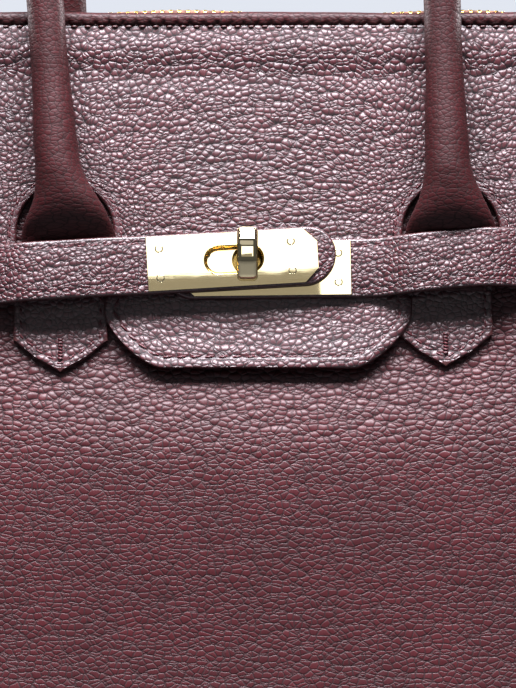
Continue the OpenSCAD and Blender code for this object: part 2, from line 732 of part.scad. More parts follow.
// Children drawn along X, standing on the edge, are set on the tape's edge and follow it
module on_tape_edge(x) {
    ahead = tooth_edge(x + tooth_l / 2) - tooth_edge(x - tooth_l / 2);
    along = ahead / norm(ahead);
    rise = tooth_edge(x) - sewn_edge(x);
    square_rise = rise - (rise * along) * along;
    up = square_rise / norm(square_rise);
    side = cross(up, along);
    at = tooth_edge(x);
    multmatrix([for (i = [0:2]) [along[i], side[i], up[i], at[i]]])
        translate([0, 0, tooth_gap]) children();
}
tooth_nose_share = 0.5;
module zip_tooth() {
    w = tooth_t / 2;
    nose = w * tooth_nose_share;
    rotate([90, 0, 90]) translate([0, 0, -tooth_l / 2]) linear_extrude(tooth_l)
        polygon([[-w, 0], [w, 0], [w, tooth_h * tooth_nose_share], [nose, tooth_h], [-nose, tooth_h],
            [-w, tooth_h * tooth_nose_share]]);
}
module zip_teeth(phase_share) {
    color("#d8b45a") for (i = [0:tooth_count - 1])
        on_tape_edge(lookup((i + phase_share) * tooth_pitch, zip_run)) zip_tooth();
}
back_phase_share = 0.5;

stop_l = 1.6;
module zip_stops() {
    last_run = (tooth_count - 1 + back_phase_share) * tooth_pitch;
    end_x = lookup(last_run, zip_run) + tooth_l / 2 + sewn_gap;
    color("#d8b45a") {
        translate([end_x, -mesh_gap / 2 + sewn_gap, zip_z - tooth_t / 2])
            cube([stop_l, mesh_gap - 2 * sewn_gap, tooth_t]);
        for (side = [0, 1]) mirror([0, side, 0])
            on_tape_edge(zip_start_x - (stop_l + tooth_l) / 2 - sewn_gap)
                translate([-stop_l / 2, -tooth_t / 2, 0]) cube([stop_l, tooth_t, tooth_h]);
    }
}

// A leather end that holds both tapes and lies on the folded gusset
end_tab_l = 15;
end_tab_t = 1.3;
module zip_end_tab() {
    half = zip_side_base + sewn_gap;
    low = rim_z + sewn_gap;
    high = zip_z + tape_t / 2 + sewn_gap + end_tab_t;
    mouth_x = zip_end_x - end_tab_l / 4;
    color("#4e2226") difference() {
        translate([mouth_x, -half - end_tab_t, low]) cube([end_tab_l, 2 * (half + end_tab_t), high - low]);
        translate([mouth_x - overrun, -half, zip_z - tape_t / 2 - sewn_gap])
            cube([end_tab_l / 4 + overrun + sewn_gap, 2 * half, tape_t + 2 * sewn_gap]);
        translate([mouth_x - overrun, -tooth_h - sewn_gap, zip_z - tooth_t / 2 - sewn_gap])
            cube([end_tab_l / 4 + overrun + sewn_gap, 2 * (tooth_h + sewn_gap), tooth_t + 2 * sewn_gap]);
    }
}

// The slider: two shield plates joined by a bridge that runs between the open rows
slider_l = 11;
slider_w = 10;
slider_plate_t = 1;
slider_lip = 0.7;
slider_gap = 0.25;
slider_x = 106;
bridge_l = 3;
ear_h = 3.4;
ear_t = 0.9;
ear_gap = 2.6;
pull_pin_r = 0.7;
slider_front_share = 0.25;
slider_back_share = 0.6;
pull_pin_share = 0.62;
pull_axis_x = slider_x + slider_l * pull_pin_share;
slider_top = zip_z + tooth_t / 2 + slider_gap;
pull_axis_z = slider_top + slider_plate_t + ear_h / 2;
slider_front = slider_l * slider_front_share;
slider_back = slider_l * slider_back_share;
module slider_plate() {
    w = slider_w / 2;
    nose_share = 0.72;
    n = w * nose_share;
    linear_extrude(slider_plate_t) polygon([[0, -n], [slider_front, -w], [slider_back, -w],
        [slider_l, -n], [slider_l, n], [slider_back, w], [slider_front, w], [0, n]]);
}
module zip_slider() {
    color("#d8c07a") union() {
        for (flip = [0, 1]) translate([slider_x, 0, zip_z]) mirror([0, 0, flip])
            translate([0, 0, tooth_t / 2 + slider_gap]) {
                slider_plate();
                for (y = [-slider_w / 2, slider_w / 2 - slider_lip])
                    translate([slider_front, y, -slider_lip])
                        cube([slider_back - slider_front, slider_lip, slider_lip + slider_plate_t]);
            }
        translate([slider_x, -bridge_half_w, zip_z - tooth_t / 2 - slider_gap - slider_plate_t / 2])
            cube([bridge_l, 2 * bridge_half_w, tooth_t + 2 * slider_gap + slider_plate_t]);
        for (side = [-1, 1])
            translate([pull_axis_x - ear_h / 2, side * (ear_gap + ear_t) / 2 - ear_t / 2, slider_top])
                cube([ear_h, ear_t, slider_plate_t + ear_h]);
        translate([pull_axis_x, 0, pull_axis_z]) rotate([90, 0, 0])
            cylinder(h = ear_gap + ear_t, r = pull_pin_r, center = true, $fn = 24);
    }
}

// The puller: an eye on the slider's pin and a tapered blade
eye_r = 1.5;
eye_w = 2;
blade_w = 5;
blade_t = 1.4;
module zip_pull() {
    color("#d8c07a") translate([pull_axis_x, 0, pull_axis_z]) difference() {
        union() {
            rotate([90, 0, 0]) cylinder(h = eye_w, r = eye_r, center = true, $fn = 32);
            translate([0, 0, eye_r - blade_t]) linear_extrude(blade_t)
                polygon([[0, -eye_w / 2], [ear_h, -eye_w / 2], [ear_h + eye_w, -blade_w / 2],
                    [puller_l, -blade_w / 2], [puller_l + eye_w, 0], [puller_l, blade_w / 2],
                    [ear_h + eye_w, blade_w / 2], [ear_h, eye_w / 2], [0, eye_w / 2]]);
        }
        rotate([90, 0, 0])
            cylinder(h = eye_w + 2 * overrun, r = pull_pin_r + spindle_gap, center = true, $fn = 32);
    }
}

front_panel();
back_panel();
base_panel();
mirror([1, 0, 0]) gusset();  // gusset_left
gusset();  // gusset_right
lining();
inner_pocket();
base_stiffener();
feet();
flap();
flap_lining();
on_front() rim_binding(flap_face, rim_w / 2);  // rim_binding_front
on_back() rim_binding(0, rim_w / 2);  // rim_binding_back
on_front() handle_cover();  // handle_front
on_front() handle_core();  // handle_front_core
on_front() handle_base(-1);  // handle_front_base_left
on_front() handle_base(1);  // handle_front_base_right
on_back() handle_cover();  // handle_back
on_back() handle_core();  // handle_back_core
on_back() handle_base(-1);  // handle_back_base_left
on_back() handle_base(1);  // handle_back_base_right
strap_left();
strap_right();
strap_left_plate();
strap_right_plate();
strap_left_rivets();
strap_right_rivets();
lock_base_plate();
lock_backing();
lock_post();
lock_toggle();
zip_tape();  // zip_tape_front
mirror([0, 1, 0]) zip_tape();  // zip_tape_back
zip_teeth(0);  // zip_teeth_front
mirror([0, 1, 0]) zip_teeth(back_phase_share);  // zip_teeth_back
zip_stops();
zip_end_tab();
zip_slider();
zip_pull();
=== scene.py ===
# %% [markdown]
# # A leather handbag in its studio
# The part is a structured handbag: a pebbled leather body, a flap with two arched
# notches, two belts over a turn-lock, two rolled handles and an open metal zip.
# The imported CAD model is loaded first, as a fixed frame. Every soft piece is then
# modelled anew round it, in the same place and size, and the metal pieces stay.

import math

import bpy
import numpy as np
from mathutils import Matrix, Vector
from mathutils.geometry import delaunay_2d_cdt


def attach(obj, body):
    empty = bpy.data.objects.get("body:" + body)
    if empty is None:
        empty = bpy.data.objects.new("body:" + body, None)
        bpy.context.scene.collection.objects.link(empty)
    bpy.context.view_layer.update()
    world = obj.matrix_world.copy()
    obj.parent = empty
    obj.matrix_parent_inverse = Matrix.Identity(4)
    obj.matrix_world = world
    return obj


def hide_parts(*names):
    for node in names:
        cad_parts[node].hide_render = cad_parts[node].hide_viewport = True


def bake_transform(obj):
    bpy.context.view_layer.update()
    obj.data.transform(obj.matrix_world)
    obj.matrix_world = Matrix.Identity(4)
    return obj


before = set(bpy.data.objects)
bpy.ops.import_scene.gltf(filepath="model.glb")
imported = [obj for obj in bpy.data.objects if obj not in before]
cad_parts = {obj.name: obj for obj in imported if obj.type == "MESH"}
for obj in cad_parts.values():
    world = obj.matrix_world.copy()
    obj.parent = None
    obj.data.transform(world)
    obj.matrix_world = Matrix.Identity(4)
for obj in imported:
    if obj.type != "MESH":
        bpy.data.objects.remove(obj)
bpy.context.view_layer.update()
MM = 0.001

# %% [markdown]
# ## The bag's own sizes
# The front and back lean inward, so most pieces are easiest to draw flat: x across,
# v up along the slope and h out from the leather. These few sizes are the same as in
# the CAD source, in millimetres, and the two functions below lay a flat drawing on
# the sloping front or back. The swell is the scene's own: real leather bulges softly
# between the base and the flap, most at a third of the height.

# %% Sizes in millimetres
BASE_W, RIM_W = 300.0, 286.0
BASE_D, RIM_D = 156.0, 98.0
BODY_H = 221.0
LEATHER = 2.2
SEWN_GAP = 0.1
FOOT_H = 6.0
PANEL_Z = FOOT_H + LEATHER + SEWN_GAP
SLOPE = math.atan((BASE_D - RIM_D) / 2 / BODY_H)
PANEL_L = BODY_H / math.cos(SLOPE)
RIM_Z = PANEL_Z + BODY_H
STRAP_W, STRAP_T = 19.0, 1.8
STRAP_V = PANEL_L - 79.5
LOCK_X, LOCK_V = -3.4, PANEL_L - 78.0
BEND_V = PANEL_L - 48.0
LEG_X = 62.19
FLAP_OUT, FLAP_T = 1.4, 1.8
STITCH = 4.4
SWELL, SWELL_HALF_W = 6.0, 140.0
SWELL_FROM, SWELL_RUN, SWELL_PEAK, SWELL_FADE_SHARE = 122.0, 40.0, 84.0, 0.85


def mix(a, b, s):
    return a + (b - a) * s


def ease(s):
    """A share from 0 to 1 with a soft start and end."""
    c = np.clip(s, 0, 1)
    return c * c * (3 - 2 * c)


def bump_at(x, centre, width):
    """A soft hill, 1 at its centre."""
    return np.exp(-(((x - centre) / width) ** 2))


def belly(x, v):
    """How far the soft front and back swell out below the flap, by SWELL at most."""
    side = np.clip(1 - (x / SWELL_HALF_W) ** 2, 0, 1)
    fade = 1 - SWELL_FADE_SHARE * ease((SWELL_PEAK - v) / SWELL_PEAK)
    return SWELL * side * ease((SWELL_FROM - v) / SWELL_RUN) * fade


def on_front(x, v, h):
    """Flat drawing to the sloping front, in metres."""
    x, v, h = (np.asarray(a, float) for a in np.broadcast_arrays(x, v, h))
    out = h + belly(x, v)
    y = -BASE_D / 2 - out * math.cos(SLOPE) + v * math.sin(SLOPE)
    z = PANEL_Z + out * math.sin(SLOPE) + v * math.cos(SLOPE)
    return np.stack([x, y, z], -1) * MM


def on_back(x, v, h):
    """Flat drawing to the sloping back, in metres."""
    return on_front(x, v, h) * [1, -1, 1]


print("rim at", round(RIM_Z, 1), "mm, slope", round(math.degrees(SLOPE), 2), "degrees")

# %% [markdown]
# ## Colours and the node helper
# A material is a small graph of nodes. One helper adds a node, sets its values and
# links its inputs, so each material below reads like a list of ingredients. Colours
# are written as the hex values a designer picks on screen and turned to linear light.
# A pattern's scale counts its features in a metre, so 0.7 / MM is 0.7 in a millimetre.


# %% Colour and the node helper
def colour(hex_value):
    """An sRGB hex colour as linear red, green, blue, alpha."""
    parts = [int(hex_value[i : i + 2], 16) / 255 for i in (1, 3, 5)]
    return [c / 12.92 if c <= 0.04045 else ((c + 0.055) / 1.055) ** 2.4 for c in parts] + [1.0]


def feed(tree, made, inputs):
    """Fills a node's inputs. Each is a value, or a socket or node to link from."""
    for key, value in inputs.items():
        if isinstance(value, bpy.types.Node):
            value = value.outputs[0]
        if isinstance(value, bpy.types.NodeSocket):
            tree.links.new(value, made.inputs[key])
        else:
            made.inputs[key].default_value = value


def node(tree, kind, inputs=None, **settings):
    """Adds a shader node with its settings and inputs."""
    made = tree.nodes.new("ShaderNode" + kind)
    for key, value in settings.items():
        setattr(made, key, value)
    feed(tree, made, inputs or {})
    return made


def new_material(name):
    """An empty material with its tree, and a shader linked to its output."""
    made = bpy.data.materials.new(name)
    made.use_nodes = True
    tree = made.node_tree
    tree.nodes.clear()
    shader = node(tree, "BsdfPrincipled")
    node(tree, "OutputMaterial", {"Surface": shader})
    return made, tree, shader


# Settings that many nodes share: a range with soft ends, and a mix of two colours by a
# share, where the share is input 0, the colours are 6 and 7, and the result is output 2.
SOFT_ENDS = {"interpolation_type": "SMOOTHSTEP"}
COLOURS = {"data_type": "RGBA"}
SHARE, FIRST, SECOND, MIXED = 0, 6, 7, 2
print("burgundy in linear light:", [round(c, 3) for c in colour("#5a2c33")])

# %% [markdown]
# ## Pebbled calf leather
# The hide was tumbled until its grain shrank into soft pebbles nearly two millimetres
# wide, and then dyed burgundy and waxed. The eye gets dark leather whose domes each
# catch a pale glint of the light above, and thin creases between them. Real grain has
# two levels: long wandering folds, and small cells inside them. Each level is a
# Voronoi texture. The distance to a cell's middle gives a round dome, and the distance
# to its edge gives the crease. Both are drawn on the piece's flat cut, kept in the UV
# map in metres, so a pebble keeps its real size on every piece. Where an edge is
# folded and pressed for sewing, the pressed value flattens the grain.


# %% Grain cells
def cells(tree, flat, size_mm, stretch, warp_mm, seed):
    """One level of grain: its round domes, its creases and a tone for each cell."""
    moved = flat
    for share, scale in ((1.0, 0.15 / MM), (0.45, 0.52 / MM)):
        wander = {"Vector": flat, "Scale": scale, "Detail": 1.0, "W": seed}
        drift = node(tree, "TexNoise", wander, noise_dimensions="4D").outputs["Color"]
        centred = node(tree, "VectorMath", {0: drift, 1: (0.5, 0.5, 0.5)}, operation="SUBTRACT")
        push = node(tree, "VectorMath", {0: centred, "Scale": warp_mm * share * MM}, operation="SCALE")
        moved = node(tree, "VectorMath", {0: moved, 1: push}, operation="ADD")
    placed = node(
        tree, "Mapping", {"Vector": moved, "Scale": (stretch, 1.0, 1.0), "Location": (seed, seed, 0)}
    )
    grain = {"Vector": placed, "Scale": 1 / (size_mm * MM), "Randomness": 1.0}
    edge = node(tree, "TexVoronoi", grain, feature="DISTANCE_TO_EDGE", voronoi_dimensions="2D")
    middle = node(tree, "TexVoronoi", grain, feature="F1", voronoi_dimensions="2D")
    squared = node(tree, "Math", {0: middle, 1: 2.0}, operation="POWER")
    dome = node(tree, "Math", {0: squared, 1: -4.0, 2: 1.0}, operation="MULTIPLY_ADD")
    tone = node(tree, "SeparateColor", {"Color": middle.outputs["Color"]})
    return dome, edge, tone


print("grain has two levels of cells")

# %% Grained leather
PORE_MM = 0.012
CELL_WARP_MM, FOLD_WARP_MM = 1.5, 4.5
FOLD_TO_CELL, FOLD_STRETCH = 2.4, 0.5
FOLD_DOME_SHARE, UNEVEN_CELL_SHARE = 0.8, 0.35
PRESSED_DOME_SHARE, PRESSED_CREASE_SHARE = 0.25, 0.4
HIDE_IOR, WAX_ROUGH = 1.5, 0.32


def grained_leather(
    name, cell_mm, stretch, dome_mm, crease_mm, tones, crease_shade_tone, rough,
    seed=0.0, wax=0.45, shine=0.5, flat_below=None,
):
    """Dyed calf with cells of this size, domes and creases of this depth, and long folds over both.

    flat_below is (low v, high v, share), in metres: the domes sink to that share below."""
    made, tree, shader = new_material(name)
    flat = node(tree, "TexCoord").outputs["UV"]
    cell, cell_edge, cell_tone = cells(tree, flat, cell_mm, stretch, CELL_WARP_MM, seed + 0.3)
    fold, fold_edge, _ = cells(
        tree, flat, cell_mm * FOLD_TO_CELL, stretch * FOLD_STRETCH, FOLD_WARP_MM, seed
    )
    pores = node(tree, "TexNoise", {"Vector": flat, "Scale": 2.4 / MM, "Detail": 2.0})
    cloud = node(tree, "TexNoise", {"Vector": flat, "Scale": 0.038 / MM, "Detail": 2.0})
    crease = node(tree, "MapRange", {"Value": fold_edge, "From Max": 0.05}, **SOFT_ENDS)
    thin = node(tree, "MapRange", {"Value": cell_edge, "From Max": 0.19}, **SOFT_ENDS)
    domes = 0.0
    for part, share in ((cell, 1.0), (fold, FOLD_DOME_SHARE), (cell_tone, UNEVEN_CELL_SHARE)):
        domes = node(tree, "Math", {0: part, 1: dome_mm * share, 2: domes}, operation="MULTIPLY_ADD")

    pressed = node(tree, "Attribute", attribute_name="pressed").outputs["Fac"]
    kept = {"Value": pressed, "To Min": 1.0, "To Max": PRESSED_CREASE_SHARE}
    thin = node(tree, "Math", {0: thin, 1: node(tree, "MapRange", kept, **SOFT_ENDS)}, operation="MULTIPLY")
    sinking = [{"Value": pressed, "To Min": 1.0, "To Max": PRESSED_DOME_SHARE}]
    if flat_below:
        low, high, share = flat_below
        upward = node(tree, "SeparateXYZ", {"Vector": flat}).outputs["Y"]
        sinking.append({"Value": upward, "From Min": low, "From Max": high, "To Min": share})
    for kept in sinking:
        share = node(tree, "MapRange", kept, **SOFT_ENDS)
        domes = node(tree, "Math", {0: domes, 1: share}, operation="MULTIPLY")
    height = domes
    for part, tall in ((thin, crease_mm), (crease, crease_mm), (pores, PORE_MM)):
        height = node(tree, "Math", {0: part, 1: tall, 2: height}, operation="MULTIPLY_ADD")

    tint = {SHARE: cell_tone, FIRST: colour(tones[0]), SECOND: colour(tones[1])}
    varied = node(tree, "Mix", tint, **COLOURS).outputs[MIXED]
    patches = {"Value": cloud, "From Min": 0.35, "From Max": 0.7, "To Max": 0.5}
    tint = {SHARE: node(tree, "MapRange", patches, **SOFT_ENDS), FIRST: varied, SECOND: colour(tones[2])}
    clouded = node(tree, "Mix", tint, **COLOURS).outputs[MIXED]
    # Painted shade: the colour darkens towards each cell's and fold's crease, standing in for the shade
    # that falls into it. The same masks also make the creases rougher.
    cell_crease_rough_and_shade = node(tree, "MapRange", {"Value": cell_edge, "From Max": 0.14}, **SOFT_ENDS)
    fold_crease_rough_and_shade = node(tree, "MapRange", {"Value": fold_edge, "From Max": 0.07, "To Min": 0.4}, **SOFT_ENDS)
    depth = node(tree, "Math", {0: cell_crease_rough_and_shade, 1: fold_crease_rough_and_shade}, operation="MULTIPLY")
    worn = {"Value": depth, "To Min": rough + 0.25, "To Max": rough}
    tint = {SHARE: depth, FIRST: colour(crease_shade_tone), SECOND: clouded}
    feed(tree, shader, {
        "Base Color": node(tree, "Mix", tint, **COLOURS).outputs[MIXED],
        "Normal": node(tree, "Bump", {"Height": height, "Distance": MM, "Strength": 1.0}),
        "Roughness": node(tree, "MapRange", worn, **SOFT_ENDS),
        "IOR": HIDE_IOR,
        "Specular IOR Level": shine,
        "Coat Weight": wax,
        "Coat Roughness": WAX_ROUGH,
    })
    return made


# The last colour of each leather is its crease colour, painted shade in the creases.
GRAIN_TOP = grained_leather(
    "pebbled_calf_flap", 1.75, 0.9, 0.16, 0.11, ("#3b1017", "#44141a", "#300c11"), "#1c0609", 0.42,
    wax=0.75, shine=0.55,
)
GRAIN_BODY = grained_leather(
    "pebbled_calf_body", 1.7, 0.66, 0.16, 0.08, ("#390e13", "#421116", "#300b0f"), "#1f070a", 0.46,
    seed=0.7, wax=0.22, shine=0.32, flat_below=(0.076, 0.114, 0.22),
)
HANDLE_LEATHER = grained_leather(
    "rolled_handle_calf", 1.25, 0.62, 0.025, 0.03, ("#2f0c0e", "#380f12", "#260a0b"), "#1b0707", 0.52,
    seed=1.9, wax=0.06, shine=0.2,
)
print("grained leathers:", GRAIN_TOP.name, GRAIN_BODY.name, HANDLE_LEATHER.name)

# %% [markdown]
# ## Lining leather, edge paint and thread
# The lining is thin goatskin with a small, even grain, so it reuses the leather above
# with small cells and hardly any relief. Cut edges are sanded and painted dark, and the
# seams are sewn with waxed thread in a warmer red. Both are simple: a little noise in
# the colour and in the bump is enough.


# %% Lining leather, edge paint and thread
def two_toned(tree, shader, pattern, tones, relief_mm, rough):
    """Ends a simple finish: its pattern picks between two colours and raises the surface."""
    tint = {SHARE: pattern, FIRST: colour(tones[0]), SECOND: colour(tones[1])}
    feed(tree, shader, {
        "Base Color": node(tree, "Mix", tint, **COLOURS).outputs[MIXED],
        "Normal": node(tree, "Bump", {"Height": pattern, "Distance": relief_mm * MM}),
        "Roughness": rough,
    })


def edge_paint():
    """Sanded leather edge under dark paint: satin, with a faint run along it."""
    made, tree, shader = new_material("painted_leather_edge")
    place = node(tree, "TexCoord").outputs["Object"]
    run = node(tree, "TexNoise", {"Vector": place, "Scale": 0.7 / MM, "Detail": 2.0})
    two_toned(tree, shader, run, ("#2c1314", "#45201f"), 0.15, 0.42)
    return made


def waxed_thread():
    """Three-ply waxed thread: its slanted plies are raised in the bump and painted lighter on their crests
    and darker between them, as painted highlight and shade.
    """
    made, tree, shader = new_material("waxed_thread")
    place = node(tree, "TexCoord").outputs["Object"]
    bands = {"Vector": place, "Scale": 0.42 / MM, "Distortion": 1.5}
    ply_relief_and_shade = node(tree, "TexWave", bands, bands_direction="DIAGONAL").outputs["Fac"]
    # Painted highlight on the ply crests and painted shade between the plies, from the same bands as the
    # bump.
    two_toned(tree, shader, ply_relief_and_shade, ("#2f0a0f", "#4e161d"), 0.12, 0.5)
    return made


# Its last colour is the crease colour, painted shade in the creases.
LINING_LEATHER = grained_leather(
    "lining_goatskin", 1.2, 0.9, 0.03, 0.04, ("#7a5648", "#8a6556", "#6d4b3f"), "#4d342b", 0.55, seed=2.6
)
EDGE = edge_paint()
THREAD = waxed_thread()
print("trims:", LINING_LEATHER.name, EDGE.name, THREAD.name)

# %% [markdown]
# ## Polished plate, brass, tape and the board
# The plates and the turning bar are brass with a thin pale gold plating, buffed on a
# wheel: a mirror with a few hairlines from handling. The zip is plain polished brass
# on a woven cotton tape. A metal keeps the default IOR, and only its base colour,
# roughness and a very shallow bump tell one finish from the next. The board in the
# base is pressed fibre, hidden but not left flat.


# %% Metals, tape and board
def plated_metal(name, face, worn, rough, hairline_mm, wave_mm):
    """Buffed metal: a mirror with hairlines and a slight wheel-made wave."""
    made, tree, shader = new_material(name)
    place = node(tree, "TexCoord").outputs["Object"]
    along = node(tree, "Mapping", {"Vector": place, "Scale": (0.06 / MM, 0.9 / MM, 2.6 / MM)})
    hair = node(tree, "TexNoise", {"Vector": along, "Scale": 1.0, "Detail": 3.0})
    wave = node(tree, "TexNoise", {"Vector": place, "Scale": 0.09 / MM, "Detail": 1.0})
    height = node(tree, "Math", {0: wave, 1: wave_mm / hairline_mm, 2: hair}, operation="MULTIPLY_ADD")
    rubbed = node(tree, "MapRange", {"Value": hair, "From Min": 0.55, "From Max": 0.8}, **SOFT_ENDS)
    tint = {SHARE: rubbed, FIRST: colour(face), SECOND: colour(worn)}
    buffed = {"Value": wave, "From Min": 0.3, "From Max": 0.7, "To Min": rough, "To Max": rough * 1.25}
    feed(tree, shader, {
        "Base Color": node(tree, "Mix", tint, **COLOURS).outputs[MIXED],
        "Normal": node(tree, "Bump", {"Height": height, "Distance": hairline_mm * MM}),
        "Roughness": node(tree, "MapRange", buffed, **SOFT_ENDS),
        "Metallic": 1.0,
    })
    return made


def woven_tape():
    """Cotton zip tape, woven with about 16 threads in 10 mm, drawn a little coarse."""
    made, tree, shader = new_material("woven_zip_tape")
    flat = node(tree, "TexCoord").outputs["UV"]
    threads = {"Vector": flat, "Scale": 1 / (0.62 * MM) / 20}
    warp = node(tree, "TexWave", threads, bands_direction="X").outputs["Fac"]
    weft = node(tree, "TexWave", threads, bands_direction="Y").outputs["Fac"]
    weave = node(tree, "Math", {0: warp, 1: weft}, operation="MULTIPLY")
    # Painted highlight and shade: the colour is lighter where the threads cross on top and darker in the
    # gaps between them, by the same pattern as the bump.
    two_toned(tree, shader, weave, ("#5d3a2c", "#9a6a4c"), 0.25, 0.8)
    feed(tree, shader, {"Sheen Weight": 0.25})
    return made


def pressed_board():
    """Grey-brown board of pressed fibre, dull and a little furry."""
    made, tree, shader = new_material("pressed_board")
    place = node(tree, "TexCoord").outputs["Object"]
    fibre = node(tree, "TexNoise", {"Vector": place, "Scale": 0.5 / MM, "Detail": 4.0})
    two_toned(tree, shader, fibre, ("#6c6459", "#8c8478"), 0.2, 0.75)
    return made


PLATE = plated_metal("pale_gold_plate", "#ecdcb0", "#e2cf9c", 0.015, 0.0004, 0.006)
BRASS = plated_metal("polished_brass", "#d9b566", "#b98d43", 0.16, 0.01, 0.02)
TAPE = woven_tape()
BOARD = pressed_board()
print("metals:", PLATE.name, BRASS.name, "tape:", TAPE.name, "board:", BOARD.name)

# %% [markdown]
# ## Skins, lines and outlines
# Every soft piece here is made from points. A round piece, such as a handle, is a row
# of rings joined by a skin of quads. A flat piece is a closed outline, and a few small
# tools measure and move such lines: even steps, distance, inside or not, and inset.


# %% Mesh object and skin
def make_object(name, points, faces, uv, materials, slots=None):
    """A smooth mesh from points in metres, with one UV per point and a slot per face."""
    mesh = bpy.data.meshes.new(name)
    mesh.from_pydata([tuple(p) for p in points], [], [tuple(int(i) for i in f) for f in faces])
    for material in materials:
        mesh.materials.append(material)
    if slots is not None:
        mesh.polygons.foreach_set("material_index", np.asarray(slots, np.int32))
    layer = mesh.uv_layers.new(name="flat_cut")
    corner = np.empty(len(mesh.loops), np.int32)
    mesh.loops.foreach_get("vertex_index", corner)
    layer.data.foreach_set("uv", np.asarray(uv, np.float32)[corner].ravel())
    mesh.polygons.foreach_set("use_smooth", np.ones(len(mesh.polygons), bool))
    mesh.update()
    made = bpy.data.objects.new(name, mesh)
    bpy.context.scene.collection.objects.link(made)
    return made


def skin_faces(rings, around, first=0, outward=True, ends=2, looped=False):
    """Quads that join rings of points, and a face over the first end or over both."""
    faces = []
    for i in range(rings if looped else rings - 1):
        near, far = first + i * around, first + (i + 1) % rings * around
        for k in range(around):
            j = (k + 1) % around
            quad = (near + k, near + j, far + j, far + k)
            faces.append(quad if outward else (near + k, far + k, far + j, near + j))
    for start in (0, (rings - 1) * around)[:ends]:
        cap = [first + start + k for k in range(around)]
        faces.append(cap[::-1] if outward == (start == 0) else cap)
    return faces


def run_along(points):
    """The length run from the first point of a line to each of its points."""
    return np.concatenate([[0], np.cumsum(np.linalg.norm(np.diff(points, axis=0), axis=1))])


print("skin helper ready")


# %% Lines and outlines
def arc(cx, cy, r, start, end, count=16):
    """Points on an arc, its angles in degrees."""
    turn = np.radians(np.linspace(start, end, count + 1))
    return np.stack([cx + r * np.cos(turn), cy + r * np.sin(turn)], 1)


def resample(points, step, closed=True):
    """The same line with points at an even step, its sharp corners kept."""
    points = np.asarray(points, float)
    ends = np.roll(points, -1, 0) if closed else points[1:]
    out = []
    for a, b in zip(points, ends):
        count = max(1, int(math.ceil(np.linalg.norm(b - a) / step)))
        out += [a + (b - a) * i / count for i in range(count)]
    if not closed:
        out.append(points[-1])
    return np.array(out)


def distance_to(points, loop):
    """Each point's distance to a closed line, worked out for some thousand points at a time."""
    batch = 4000
    a, b = loop, np.roll(loop, -1, 0)
    d = b - a
    squared = np.maximum((d * d).sum(1), 1e-12)
    nearest = np.empty(len(points))
    for i in range(0, len(points), batch):
        p = points[i : i + batch, None, :] - a
        t = np.clip((p * d).sum(2) / squared, 0, 1)
        nearest[i : i + batch] = np.sqrt(((p - t[..., None] * d) ** 2).sum(2)).min(1)
    return nearest


def inside(points, loop):
    """Which points lie inside a closed line."""
    x, y = points[:, 0], points[:, 1]
    hit = np.zeros(len(points), bool)
    for (ax, ay), (bx, by) in zip(loop, np.roll(loop, -1, 0)):
        if ay != by:
            crosses = (ay > y) != (by > y)
            hit ^= crosses & (x < (bx - ax) * (y - ay) / (by - ay) + ax)
    return hit


def within(points, loops):
    """Which points lie inside the first line and outside the holes after it."""
    keep = inside(points, loops[0])
    for hole in loops[1:]:
        keep &= ~inside(points, hole)
    return keep


KEPT_CLEAR = 0.97


def shifted(loop, depth):
    """The line moved inward by a depth, or outward by a negative one, without its crowded points."""
    ahead, behind = np.roll(loop, -1, 0), np.roll(loop, 1, 0)
    along = ahead - behind
    normal = np.stack([-along[:, 1], along[:, 0]], 1) / np.linalg.norm(along, axis=1)[:, None]
    area = (loop[:, 0] * ahead[:, 1] - ahead[:, 0] * loop[:, 1]).sum()
    moved = loop + normal * depth * (1 if area > 0 else -1)
    return moved[distance_to(moved, loop) > abs(depth) * KEPT_CLEAR]


print("a quarter arc of 10 mm is", round(run_along(arc(0, 0, 10, 0, 90))[-1], 1), "mm long")

# %% [markdown]
# ## Building a leather sheet
# A cut piece of leather is an outline with a thickness, a rounded and painted edge
# and a shallow channel where the seam runs. The helper scatters points inside the
# outline, closer together near its edge, lets a Delaunay triangulation join them,
# and lifts each point by its distance from the edge. A place function then lays the
# flat piece where it belongs, so the same helper makes flap, belts and tabs.

# %% Leather sheet
OUTLINE_STEP = 1.2
EDGE_ROWS, SEAM_ROWS = [0.3, 0.8], (-0.5, 0, 0.5)
ROW_SHARE = 0.87
CLEAR_OF_EDGE, CLEAR_OF_SEAM = 0.25, 0.9
CHANNEL_DEPTH, CHANNEL_HALF = 0.2, 0.45
RELIEF_FADE = 3.0
ON_THE_EDGE = 0.05
PRESSED_BELOW_BELT = 0.25
PRESSED_FROM, PRESSED_RUN = 0.4, 0.9


def scatter(loops, step, seams):
    """Points inside the first loop and outside the others, closer together near each edge and seam."""
    rings = []
    for i, loop in enumerate(loops):
        for depth in EDGE_ROWS + [seam + side for seam in seams for side in SEAM_ROWS]:
            rings.append(shifted(loop, depth if i == 0 else -depth))
    low, high = loops[0].min(0), loops[0].max(0)
    rows = np.arange(low[1], high[1], step * ROW_SHARE)
    field = np.array([
        (x + step / 2 * (i % 2), y) for i, y in enumerate(rows) for x in np.arange(low[0], high[0], step)
    ])
    depth = np.min([distance_to(field, loop) for loop in loops], 0)
    points = np.concatenate(rings + [field[depth > max(seams) + CLEAR_OF_SEAM]])
    points = points[within(points, loops)]
    depth = np.min([distance_to(points, loop) for loop in loops], 0)
    return points[depth > CLEAR_OF_EDGE]


def triangulated(loops, inner):
    """Points and triangles of a sheet, all turned the same way round."""
    edges, start = [], 0
    for loop in loops:
        edges += [(start + i, start + (i + 1) % len(loop)) for i in range(len(loop))]
        start += len(loop)
    flat = [Vector(p) for p in np.concatenate([*loops, inner])]
    found = delaunay_2d_cdt(flat, edges, [], 0, 1e-5)
    points, faces = np.array([tuple(p) for p in found[0]]), np.array(found[2])
    faces = faces[within(points[faces].mean(1), loops)]
    a, b, c = points[faces[:, 0]], points[faces[:, 1]], points[faces[:, 2]]
    turned = ((b - a)[:, 0] * (c - a)[:, 1] - (b - a)[:, 1] * (c - a)[:, 0]) < 0
    faces[turned] = faces[turned][:, ::-1]
    return points, faces


